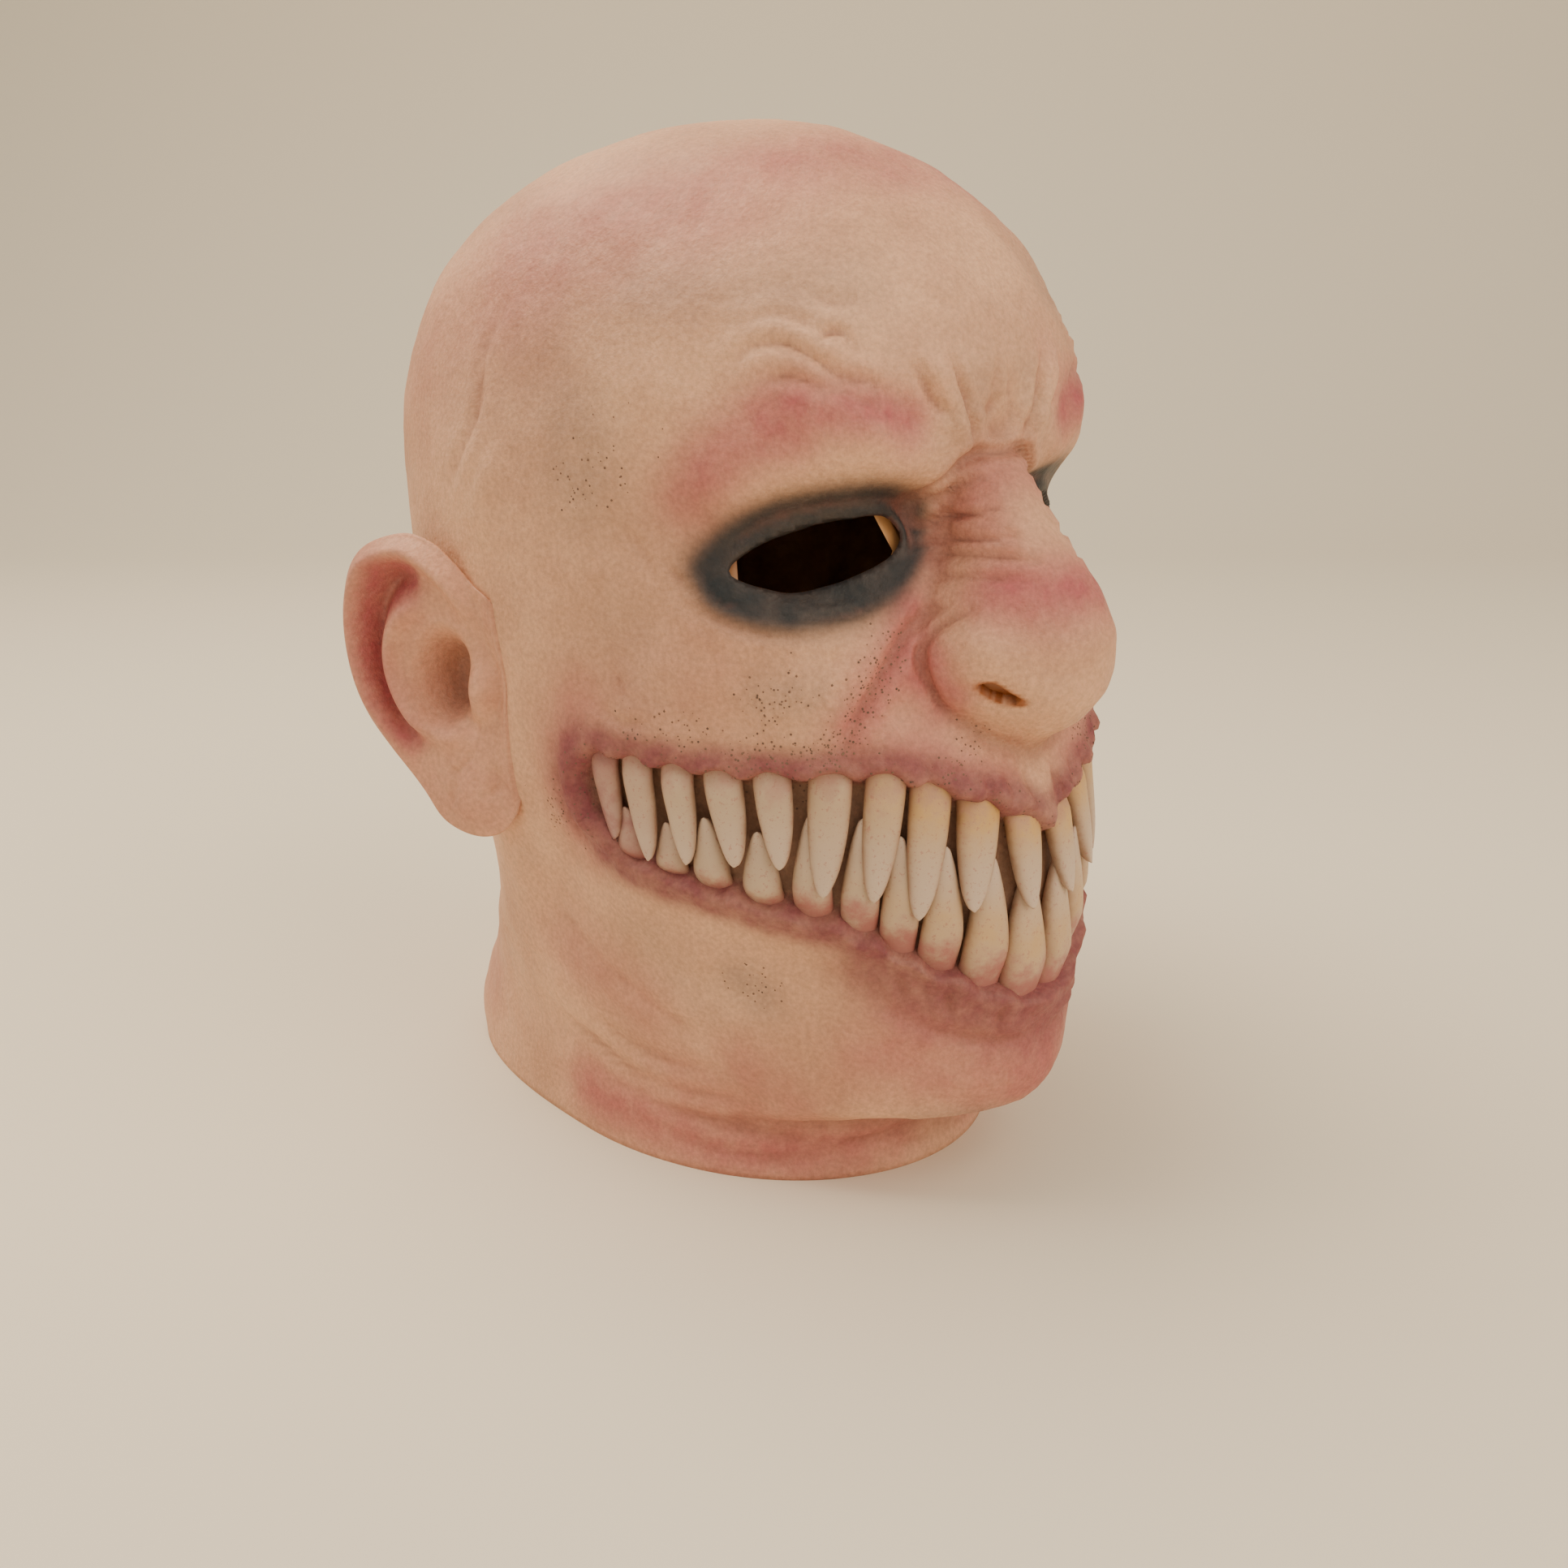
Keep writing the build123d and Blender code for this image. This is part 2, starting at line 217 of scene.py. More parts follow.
def loop_distance(u, v, loop):
    """Signed distance from points to a closed loop, positive inside it."""
    nearest = np.full(u.shape, FAR)
    inside = np.zeros(u.shape, bool)
    for (ax, ay), (bx, by) in zip(loop, np.roll(loop, -1, axis=0)):
        dx, dy = bx - ax, by - ay
        t = np.clip(((u - ax) * dx + (v - ay) * dy) / (dx * dx + dy * dy + 1e-12), 0, 1)
        nearest = np.minimum(nearest, np.hypot(u - ax - t * dx, v - ay - t * dy))
        crosses = (ay > v) != (by > v)
        inside ^= crosses & (u < (bx - ax) * (v - ay) / (dy if dy else 1e-12) + ax)
    return np.where(inside, nearest, -nearest)


# ---- the sculpted sheet ----------------------------------------------------------------------
class Sheet:
    """The head's skin as rows of points from the neck rim to the crown, columns running from the back
    round by the wearer's right, the face and the wearer's left."""

    def __init__(self, rows, columns):
        self.heights = self.row_heights(rows)
        shares = self.column_shares(columns)
        self.points = np.stack([self.outline(z, shares) for z in self.heights])
        self.paint = {}

    @staticmethod
    def row_heights(rows):
        """Heights closer together over the face, and spaced along the dome at the crown."""
        z = np.linspace(HEAD[0, 0], HEAD[-1, 0], 3000)
        half_width = column(HEAD, 3, z)
        along = np.hypot(np.gradient(z), np.gradient(half_width))
        density = 0.8 + 0.4 * ease(z, 40, 62) * (1 - ease(z, 232, 248))
        total = np.cumsum(along * density)
        total = (total - total[0]) / (total[-1] - total[0])
        return np.interp(np.linspace(0, 1, rows), total, z)

    @staticmethod
    def column_shares(columns):
        """Shares of the way round, three times closer over the face than at the back."""
        share = np.linspace(0, 1, 4001)
        total = np.cumsum(1 + 2.1 * bell(np.abs(share - 0.5) ** 2, 0.21 ** 2))
        total = (total - total[0]) / (total[-1] - total[0])
        return np.interp(np.arange(columns) / columns, total, share)

    @staticmethod
    def outline(z, shares):
        front, back, half_width, widest, front_power, back_power = (
            float(column(HEAD, k, z)) for k in range(1, 7))
        angle = np.linspace(0.5, 2.5, 1441) * math.pi
        across, along = np.cos(angle), np.sin(angle)
        power = np.where(along < 0, front_power, back_power)
        x = half_width * np.sign(across) * np.abs(across) ** (2 / power)
        y = widest + np.where(along < 0, front - widest, back - widest) * np.abs(along) ** (2 / power)
        if NOSE[0, 0] < z < NOSE[-1, 0]:
            nose_front, nose_width = (float(column(NOSE, k, z)) for k in (1, 2))
            dome = np.sqrt(np.clip(1 - (x / nose_width) ** 2, 0, 1))
            nose_y = NOSE_CENTRE_Y + (nose_front - NOSE_CENTRE_Y) * dome
            nose_y = np.where((along < 0) & (dome > 0), nose_y, FAR)
            melt = np.clip(0.5 + 0.5 * (y - nose_y) / NOSE_FILLET, 0, 1)
            y = y + melt * (nose_y - y) - NOSE_FILLET * melt * (1 - melt)
        run = np.concatenate([[0], np.cumsum(np.hypot(np.diff(x), np.diff(y)))])
        place = shares * run[-1]
        return np.stack([np.interp(place, run, x), np.interp(place, run, y), np.full(len(shares), z)], axis=1)

    def hollows(self, reach):
        """How deep each point lies below its surroundings, in mm; raised points are below 0."""
        smooth = self.points.copy()
        for _ in range(reach):
            mean = (np.roll(smooth, 1, axis=1) + np.roll(smooth, -1, axis=1)) / 2
            smooth[1:-1] = (mean[1:-1] + (smooth[2:] + smooth[:-2]) / 2) / 2
        return np.einsum("ijk,ijk->ij", smooth - self.points, self.normals())

    def normals(self):
        around = np.roll(self.points, -1, axis=1) - np.roll(self.points, 1, axis=1)
        up = np.gradient(self.points, axis=0)
        normal = np.cross(around, up)
        return normal / (np.linalg.norm(normal, axis=2, keepdims=True) + 1e-9)

    def bearings(self):
        return np.degrees(np.arctan2(-self.points[..., 0], AXIS_Y - self.points[..., 1]))

    def ring(self, height):
        """The sheet's points at a height, between two rows."""
        row = float(np.interp(height, self.heights, np.arange(len(self.heights))))
        low = min(int(row), len(self.heights) - 2)
        return self.points[low] + (row - low) * (self.points[low + 1] - self.points[low])

    def spot(self, bearing, height):
        """The point of the sheet at a bearing and height."""
        ring = self.ring(height)
        turn = np.degrees(np.arctan2(-ring[:, 0], AXIS_Y - ring[:, 1]))
        order = np.argsort(turn)
        return np.array([np.interp(bearing, turn[order], ring[order, k]) for k in range(3)])

    def front_spot(self, x, height):
        """The point of the face at a distance from the middle and a height."""
        ring = self.ring(height)
        ring = ring[ring[:, 1] < -60]
        order = np.argsort(ring[:, 0])
        return np.array([np.interp(x, ring[order, 0], ring[order, k]) for k in range(3)])

    def route(self, stops, front=False):
        """Points along the sheet through given stops."""
        find = self.front_spot if front else self.spot
        flat = through(stops, 8 * len(stops)) if len(stops) > 1 else np.array(stops, float)
        return np.array([find(*stop) for stop in flat])

    def from_route(self, route, reach):
        """For the points within reach of a route: which they are, their distance from it, the share of the
        way along it, and which side of it they lie on."""
        low, high = route.min(axis=0) - reach, route.max(axis=0) + reach
        near = np.all((self.points > low) & (self.points < high), axis=2)
        spots = self.points[near]
        if len(spots) == 0:
            return near, np.zeros(0), np.zeros(0), np.zeros(0)
        if len(route) == 1:
            distance = np.linalg.norm(spots - route[0], axis=1)
            return near, distance, np.full(len(spots), 0.5), np.zeros(len(spots))
        best = np.full(len(spots), FAR)
        share = np.zeros(len(spots))
        side = np.zeros(len(spots))
        normal = self.normals()[near]
        for k in range(len(route) - 1):
            a, b = route[k], route[k + 1]
            span = b - a
            t = np.clip((spots - a) @ span / (span @ span + 1e-9), 0, 1)
            gap = spots - a - t[:, None] * span
            distance = np.linalg.norm(gap, axis=1)
            closer = distance < best
            best[closer] = distance[closer]
            share[closer] = (k + t[closer]) / (len(route) - 1)
            across = np.cross(np.broadcast_to(span, gap.shape), gap)
            side[closer] = np.sign(np.einsum("ij,ij->i", across, normal))[closer]
        return near, best, share, side

    def push(self, near, amount):
        """Move points out along the sheet's normals by an amount in mm."""
        self.points[near] += self.normals()[near] * amount[:, None]

    def near_stops(self, stops, reach, front, both):
        """The points near stops, as from_route gives them, on the right and then, with both, on the left."""
        for hand in (1, -1) if both else (1,):
            route = self.route([(hand * place, height) for place, height in stops], front)
            yield hand, *self.from_route(route, reach)

    def crease(self, stops, width, depth, lift=0.0, side_lift=0.0, front=False, both=True):
        """Press a groove with raised banks along stops; side_lift raises the bank on the left of the way."""
        for hand, near, distance, share, side in self.near_stops(stops, 5 * width, front, both):
            taper = np.clip(np.sin(math.pi * np.clip(share, 0.0, 1.0)), 0, 1) ** 0.6
            bank = bell(distance - 2.0 * width, 1.3 * width)
            one_bank = bell(distance - 2.2 * width, 1.7 * width) * (side * hand > 0)
            self.push(near, taper * (lift * bank + side_lift * one_bank - depth * bell(distance, width)))

    def mound(self, stops, radius, height, front=False, both=True):
        """Raise a soft mound, or a hollow where height is negative, at a stop or along stops."""
        for _, near, distance, _, _ in self.near_stops(stops, BRUSH_REACH * radius, front, both):
            self.push(near, height * bell(distance, radius))

    def spray(self, name, stops, radius, strength, front=False, both=True):
        """Airbrush a layer of paint at a stop or along stops."""
        layer = self.paint.setdefault(name, np.zeros(self.points.shape[:2]))
        for _, near, distance, _, _ in self.near_stops(stops, BRUSH_REACH * radius, front, both):
            layer[near] = 1 - (1 - layer[near]) * (1 - strength * bell(distance, radius))


# ---- sculpting the head ----------------------------------------------------------------------
FACE = {"front": True}          # stops give x, not a bearing
ONCE = {"both": False}          # one stroke, not mirrored
FACE_ONCE = {**FACE, **ONCE}


def strokes(tool, rows, *first):
    """Use one of the sheet's tools once for each row of its arguments; a row may end in how it is placed."""
    for row in rows:
        how = row[-1] if isinstance(row[-1], dict) else {}
        tool(*first, *(row[:-1] if how else row), **how)


def mouth_loops():
    """The mouth's edge as a loop of arc along the face and height."""
    upper = through(UPPER_LIP, 80)
    lower = through(LOWER_LIP, 80)
    corner = through([UPPER_LIP[-1], MOUTH_CORNER, (93.5, 110.0), LOWER_LIP[-1]], 20)[1:-1]
    side = np.vstack([upper, corner, lower[::-1]])
    other = side[::-1] * (-1, 1)
    return np.vstack([side, other[1:-1]]) * (MM_PER_DEGREE, 1)


def tooth_phase(bearing, teeth):
    """1 over the middle of each tooth's root and -1 halfway to the next."""
    roots = np.array([row[0] for row in teeth])
    place = np.interp(np.abs(bearing), np.concatenate([[-roots[0]], roots, [roots[-1] + 9]]),
                      np.arange(-1, len(roots) + 1))
    return np.cos(2 * math.pi * place)


def open_mouth(sheet):
    """Sink the web behind the teeth and roll the lips, scalloped round every tooth."""
    bearing = sheet.bearings()
    height = sheet.points[..., 2]
    sideways, lowest, highest = MOUTH_REACH
    face = (np.abs(bearing) < sideways) & (height > lowest) & (height < highest)
    arc, z = bearing[face] * MM_PER_DEGREE, height[face]
    inside = loop_distance(arc, z, mouth_loops())
    middle = (np.interp(np.abs(bearing[face]), UPPER_LIP[:, 0], UPPER_LIP[:, 1])
              + np.interp(np.abs(bearing[face]), LOWER_LIP[:, 0], LOWER_LIP[:, 1])) / 2
    upper = z > middle
    phase = np.where(upper, tooth_phase(bearing[face], UPPER_TEETH), tooth_phase(bearing[face], LOWER_TEETH))
    at_side = ease(np.abs(bearing[face]), 88, 93)
    phase = phase * (1 - at_side)
    inside = inside + np.where(upper, 0.9, 0.8) * phase * bell(inside, 6) - 0.9
    spots = np.stack([arc, z, 0 * z], axis=1)
    inside += 0.25 * ripple(spots, 6, SEED + 6) * bell(inside, 4)
    flesh = 0.5 * ripple(spots, 9, SEED + 5) + 0.2 * ripple(spots, 5, SEED + 7)
    sink = WEB_DEPTH * ease(inside, -0.4, 2.6)
    web_ribs = 0.6 * phase * ease(inside, 3, 6)
    brow, foot = bell(np.maximum(inside + 1.6, 0), 1.5), bell(np.minimum(inside + 1.6, 0), 4.2)
    roll = (2.9 + flesh - 0.3 * phase) * brow * foot
    roll += 0.8 * bell(inside + 8.5, 4.0)
    sheet.mouth = np.full(height.shape, OUTSIDE)
    sheet.mouth[face] = inside
    sheet.push(face, roll - sink + web_ribs)


def sculpt_forms(sheet):
    """Brows, sockets, cheeks, muzzle, chin, jaw and neck."""
    strokes(sheet.mound, [
        ([(44, 180)], 17, -5.5),
        ([(33, 182), (52, 177)], 11, -3),
        ([(22, 187)], 9, -6.5),
        ([(24, 201), (36, 204), (50, 201), (62, 195)], 9, 2.6),
        ([(12, 209)], 7, 1.4),
        ([(74, 190)], 16, -1.5),
        ([(64, 160), (50, 158)], 14, 2.6),
        ([(36, 152), (48, 142)], 9, 1.6),
        ([(-24, 158), (-27, 150)], 8, 2.4, FACE),
        ([(16, 128), (28, 132)], 7, 1.2),
        ([(0, 52)], 9, -1.2, ONCE),
        ([(24, 58), (34, 66)], 8, 0.8),
        ([(70, 76), (84, 84)], 12, 1.6),
        ([(104, 92), (108, 74)], 12, -2),
        ([(113, 192)], 12, 1.2),
        ([(103, 214)], 16, -0.8)
    ])
    # the hollow that each ear's bowl sinks into
    sheet.mound([(121, 138)], 12, -14.0)


def sculpt_folds(sheet):
    """Wrinkles and folds: brow arches, frown lines, nose folds, cheek folds and neck folds."""
    # arches over each brow
    strokes(sheet.crease, [
        ([(61, 221), (57, 226.5), (51, 227.5), (45, 224), (40, 220), (34, 218.5), (30, 214)], 1.6, 1.1, 0.8),
        ([(60, 229), (54, 233), (48, 232), (44, 229.5), (39, 231)], 1.7, 0.6, 0.5),
        ([(56, 219), (49, 220), (43, 217.5), (37, 215.5), (31, 211)], 1.5, 0.8, 0.6),
        ([(46, 238), (40, 236), (34, 238)], 1.8, 0.4, 0.3),
        ([(45, 226), (42, 229.5), (39, 229), (37, 225)], 1.4, 0.9, 0.6)
    ])
    sheet.mound([(47, 213), (39, 212), (33, 208)], 5, 1.6)
    # frown lines
    strokes(sheet.crease, [
        ([(16, 226), (14, 219), (12, 213), (9, 206), (8, 202)], 1.7, 1.4, 1),
        ([(25, 224), (23, 220), (20, 214), (15, 210)], 1.6, 1, 0.7),
        ([(1, 228), (2, 220), (4, 209)], 1.5, 0.7, 0.6),
        ([(12, 216), (5, 212), (-3, 216)], 1.3, 0.4, 0.3, ONCE)
    ])
    sheet.mound([(18, 219), (14, 209)], 4.5, 1.3)
    sheet.crease([(20, 240), (12, 235), (6, 239)], 1.6, 0.35, 0.3)
    # root and bridge of the nose, fanning from the eye's inner corner
    strokes(sheet.crease, [
        ([(-22, 190), (-17, 195), (-11, 200.5), (0, 201.5), (11, 200.5), (17, 195), (22, 190)],
         1.4, 1.9, 0.4, 0.7, FACE_ONCE),
        ([(-21, 188), (-16, 191), (-11, 195), (-5, 196.5)], 1.1, 0.9, 0.6, FACE),
        ([(-21, 184), (-16, 185), (-11, 188), (-5, 189.5)], 1.1, 1, 0.7, FACE),
        ([(-21, 180.5), (-16, 181), (-11, 182), (-5, 182.5)], 1.1, 0.9, 0.6, FACE),
        ([(-21, 177), (-16, 178), (-11, 177.5), (-5, 176.5)], 1.1, 0.8, 0.6, FACE),
        ([(-22, 172.5), (-17, 173), (-12, 172.5)], 1, 0.5, 0.4, FACE),
        ([(-19, 192), (-12, 186), (-7, 179)], 1, 0.3, 0.3, FACE)
    ])
    # cheek fold from the nostril wing to the lip, and the wing's own crease
    strokes(sheet.crease, [
        ([(18, 167), (24, 162), (29, 156), (33, 149), (37, 141), (40, 132)], 1.9, 1.5, 0.4, 0.7),
        ([(-21, 167), (-25, 163.5), (-29.5, 158), (-31, 152), (-29, 145), (-25, 140)],
         1.4, 1.7, 0.3, 0.3, FACE)
    ])
    sheet.mound([(-25, 157), (-26, 150)], 5, 1.1, front=True)
    strokes(sheet.crease, [
        ([(34, 166), (39, 157), (44, 149), (47, 140)], 1.5, 0.4, 0.3),
        ([(14, 125), (13, 118)], 1.6, 0.8, 0.6),
        ([(25, 130), (24, 123)], 1.4, 0.6, 0.4),
        ([(4, 125), (3.5, 117), (2, 109)], 1.7, 0.9, 0.7),
        ([(9, 124), (9, 116)], 1.3, 0.5, 0.4)
    ])
    # under and beside the eye
    strokes(sheet.crease, [
        ([(71, 171), (66, 166), (60, 162.5), (51, 160), (38, 161)], 1.2, 0.6, 0.4),
        ([(74, 178), (69, 172), (65, 169)], 1, 0.5, 0.4),
        ([(70, 168), (66, 163), (61, 159)], 1, 0.4, 0.3),
        ([(56, 165), (47, 163.5), (38, 165), (30, 169)], 1.1, 0.5, 0.4),
        ([(66, 176), (63, 169), (57, 166)], 1, 0.5, 0.3),
        ([(82, 186), (77, 178), (74, 170)], 1.2, 0.35, 0.2)
    ])
    # scalp
    strokes(sheet.crease, [
        ([(121, 188), (115, 200), (112, 212), (112, 224), (108, 240)], 1.8, 0.8, 0.6),
        ([(116, 182), (111, 196), (108, 206)], 1.9, 0.4, 0.5)
    ])
    sheet.mound([(112, 184), (109, 196)], 5, 0.9)
    # cheek above the mouth and at its corner
    strokes(sheet.crease, [
        ([(97, 134), (99, 122), (97, 108), (92, 97)], 2.2, 0.8, 0.7),
        ([(88, 140), (82, 136), (76, 137)], 1.7, 0.6, 0.6),
        ([(84, 150), (81, 142)], 1.4, 0.5, 0.5)
    ])
    # chin and lower lip
    strokes(sheet.crease, [
        ([(32, 64), (22, 57), (10, 52), (0, 51)], 2.2, 0.9, 0.3),
        ([(20, 68), (19, 60)], 1.4, 0.8, 0.6),
        ([(10, 63), (11, 54)], 1.4, 0.8, 0.6),
        ([(29, 74), (27, 65)], 1.3, 0.6, 0.5),
        ([(40, 80), (38, 73)], 1.2, 0.5, 0.4),
        ([(56, 87), (55, 81)], 1.1, 0.4, 0.3),
        ([(68, 54), (64, 50)], 1.1, 0.3, 0.4)
    ])
    # neck
    strokes(sheet.crease, [
        ([(112, 72), (104, 66), (95, 58), (82, 50), (72, 46)], 2.7, 0.7, 0.5),
        ([(128, 42), (110, 31), (95, 25), (80, 25), (64, 27), (46, 28)], 2.7, 0.9, 0.7),
        ([(124, 30), (104, 21), (84, 17), (64, 15), (44, 14)], 2.6, 0.8, 0.6),
        ([(116, 46), (100, 37), (84, 33), (66, 34)], 2.5, 0.5, 0.5),
        ([(60, 20), (44, 20), (26, 19), (8, 19)], 1.9, 0.7, 0.5),
        ([(96, 12), (76, 8), (52, 7), (30, 8)], 2.3, 0.5, 0.5),
        ([(36, 12), (18, 12), (0, 13)], 1.4, 0.5, 0.4),
        ([(140, 60), (126, 52), (114, 52)], 2.6, 0.5, 0.4)
    ])


def sculpt_eye_rims(sheet):
    """A thin standing rim round each eye hole."""
    bearing, height = sheet.bearings(), sheet.points[..., 2]
    sheet.eye = np.full(height.shape, OUTSIDE)
    for hand in (1, -1):
        near = (bearing * hand > 12) & (bearing * hand < 75) & (height > 155) & (height < 200)
        loop = through(EYE_HOLE, 72, closed=True) * (hand * MM_PER_DEGREE, 1)
        inside = loop_distance(bearing[near] * MM_PER_DEGREE, height[near], loop)
        sheet.eye[near] = np.maximum(sheet.eye[near], inside)
        above = ease(height[near], 176, 182)
        sheet.push(near, (0.5 + 1.3 * above) * bell(inside + 1.2, 1.5))


def find_nostrils(sheet):
    """Mark how far inside a nostril slit each point of the nose lies."""
    x, z = sheet.points[..., 0], sheet.points[..., 2]
    front = (sheet.points[..., 1] < -96) & (z > 136) & (z < 152)
    sheet.nostril = np.full(x.shape, OUTSIDE)
    for hand in (1, -1):
        near = front & (x * hand < 0)
        loop = through(NOSTRIL, 48, closed=True) * (hand, 1)
        sheet.nostril[near] = loop_distance(x[near], z[near], loop)
    near = sheet.nostril > -4
    sheet.push(near, -0.8 * bell(sheet.nostril[near] + 0.5, 1.6))


def roughen(sheet):
    """The slight unevenness of a hand-sculpted clay, and the skin texture pressed into it."""
    everywhere = np.ones(sheet.points.shape[:2], bool)
    spots = sheet.points[everywhere]
    uneven = sum(size * ripple(spots, wavelength, SEED + k)
                 for k, (size, wavelength) in enumerate(((0.45, 42), (0.22, 17), (0.09, 6))))
    face = bell(sheet.bearings()[everywhere], 110)
    sheet.push(everywhere, uneven * (0.45 + 0.55 * face) * ease(spots[:, 2], 0, 6))


# ---- paint -----------------------------------------------------------------------------------
def spray_paint_and_web_shade(sheet):
    """Airbrushed layers, in the order that the painter would lay them, and painted shade on the sunken web
    behind the teeth.
    """
    # rose on the scalp, brows, nose, cheeks, chin and neck
    strokes(sheet.spray, [
        ([(20, 270), (32, 271), (55, 268)], 15, 0.6),
        ([(75, 258), (97, 253), (107, 245)], 20, 0.55),
        ([(115, 238), (128, 224)], 26, 0.35),
        ([(68, 194), (60, 204), (50, 210)], 10, 0.8),
        ([(52, 211), (42, 213), (33, 212), (27, 210)], 7.5, 0.98),
        ([(-18, 226), (-29, 218), (-35, 208)], 7, 0.25, ONCE),
        ([(-17, 171), (-11, 170), (0, 171), (11, 170), (17, 171)], 10, 0.98, FACE_ONCE),
        ([(-20, 176), (-14, 183), (-12, 190)], 8, 0.6, FACE),
        ([(-8, 197), (8, 197)], 8, 0.45, FACE_ONCE),
        ([(-29, 166), (-31, 154), (-27, 143)], 7, 0.9, FACE),
        ([(27, 155), (32, 149), (37, 139)], 8, 0.85),
        ([(10, 124), (18, 128), (28, 133)], 8, 0.6),
        ([(0, 36), (16, 40), (30, 47)], 14, 0.55),
        ([(0, 54), (14, 54), (26, 60)], 10, 0.6),
        ([(60, 38), (52, 26), (80, 26)], 14, 0.45),
        ([(20, 12), (45, 9), (76, 8), (111, 14)], 12, 0.8),
        ([(90, 52), (108, 60)], 14, 0.4),
        ([(150, 28), (165, 50)], 22, 0.4),
        ([(92, 140), (98, 120), (96, 100)], 9, 0.5),
        ([(64, 150), (78, 144)], 14, 0.25)
    ], "rose")
    # grey shadow
    strokes(sheet.spray, [
        ([(90, 209), (88, 194)], 13, 0.4),
        ([(98, 228), (116, 212)], 22, 0.2),
        ([(50, 238), (38, 240), (78, 238)], 10, 0.35),
        ([(56, 62), (60, 67)], 6, 0.7),
        ([(8, 27), (20, 28)], 6, 0.5),
        ([(45, 147), (54, 147)], 6, 0.45),
        ([(8, 218), (14, 205)], 8, 0.3),
        ([(82, 158), (78, 146)], 13, 0.2),
        ([(84, 74), (70, 58)], 11, 0.25)
    ], "ash")
    # slate round the eyes
    sheet.paint["slate"] = 0.98 * bell(np.minimum(sheet.eye + 5.0, 0), 4.0)
    strokes(sheet.spray, [
        ([(66, 176), (60, 169), (50, 165.5), (39, 166.5), (31, 171)], 5.5, 0.9),
        ([(64, 180), (59, 186), (50, 190.5), (40, 192.5), (28, 192), (20, 188)], 4.5, 0.6),
        ([(20, 187), (20, 180)], 4.5, 0.75)
    ], "slate")
    # plum on the lips
    lips = sheet.mouth
    sheet.paint["plum"] = 0.98 * bell(np.minimum(lips + 4.5, 0), 3.6)
    strokes(sheet.spray, [
        ([(0, 56), (12, 58), (24, 66), (34, 74)], 9, 0.85),
        ([(0, 111), (8, 116), (16, 121), (26, 127)], 5, 0.6),
        ([(92, 129), (95, 119), (94, 108), (90, 99)], 7, 0.85)
    ], "plum")
    # painted shade on the web sunk behind the teeth, which takes the colour of the latex in shade
    sheet.paint["web"] = ease(lips, 1.0, 3.0)
    # raw latex showing at the nostrils' edges
    sheet.paint["raw"] = ease(sheet.nostril, -0.9, 0.2)
    # where casting bubbles left pinholes
    holes = "pinholes"
    strokes(sheet.spray, [
        ([(30, 157), (33, 151), (36, 145), (40, 133)], 4, 0.95),
        ([(49, 146), (53, 145)], 5, 0.7),
        ([(16, 131), (20, 126)], 4.5, 0.7),
        ([(40, 133), (48, 132), (57, 130)], 4.5, 0.75),
        ([(68, 133), (80, 136)], 5, 0.4),
        ([(100, 112), (100, 104)], 5, 0.4),
        ([(88, 198)], 9, 0.25),
        ([(56, 66)], 6, 0.4)
    ], holes)
    near_lip = bell(lips - 1.0, 4.5) * (sheet.points[..., 2] > 100)
    sheet.paint[holes] = np.maximum(sheet.paint[holes], 0.3 * near_lip)


# ---- meshes ----------------------------------------------------------------------------------
def cut_grid(points, normals, field, wall, flip=False):
    """Vertices and faces of a closed-round grid, cut cleanly where field is above 0, its crown closed by a
    fan, with a rim of the wall's thickness turned in at every open edge."""
    rows, columns = field.shape
    flat, field = points.reshape(-1, 3).copy(), field.reshape(-1).copy()
    start = flat.copy()
    index = np.arange(rows * columns).reshape(rows, columns)
    right = np.roll(index, -1, axis=1)
    pairs = np.vstack([np.column_stack([index.ravel(), right.ravel()]),
                       np.column_stack([index[:-1].ravel(), index[1:].ravel()])])
    crossing = pairs[(field[pairs[:, 0]] > 0) != (field[pairs[:, 1]] > 0)]
    for a, b in crossing:
        if field[a] == 0 or field[b] == 0:
            continue
        share = field[a] / (field[a] - field[b])
        mover = a if share < 0.5 else b
        flat[mover] = start[a] + share * (start[b] - start[a])
        field[mover] = 0
    quads = np.column_stack([index[:-1].ravel(), right[:-1].ravel(), right[1:].ravel(), index[1:].ravel()])
    open_corners = (field[quads] > 0).sum(axis=1)
    faces = [tuple(quad) for quad in quads[open_corners == 0]]
    for quad in quads[open_corners == 1]:
        k = int(np.argmax(field[quad] > 0))
        faces.append((quad[(k + 1) % 4], quad[(k + 2) % 4], quad[(k + 3) % 4]))
    crown = len(flat)
    flat = np.vstack([flat, flat[index[-1]].mean(axis=0)])
    normals = np.vstack([normals.reshape(-1, 3), (0, 0, 1)])
    faces += [(a, b, crown) for a, b in zip(index[-1], np.roll(index[-1], -1))]
    if wall > 0:
        seen = {}
        for face in faces:
            for a, b in zip(face, face[1:] + face[:1]):
                seen[(a, b)] = True
        open_edges = [(a, b) for a, b in seen if (b, a) not in seen]
        inner = {}
        for k in sorted({k for edge in open_edges for k in edge}):
            inner[k] = len(flat) + len(inner)
        flat = np.vstack([flat, [flat[k] - wall * normals[k] for k in inner]])
        faces += [(b, a, inner[a], inner[b]) for a, b in open_edges]
        source = np.concatenate([np.arange(crown + 1), list(inner)])
    else:
        source = np.arange(crown + 1)
    used = np.unique([k for face in faces for k in face])
    renumber = np.full(len(flat), -1)
    renumber[used] = np.arange(len(used))
    faces = [tuple(int(renumber[k]) for k in (face[::-1] if flip else face)) for face in faces]
    return flat[used], faces, source[used]


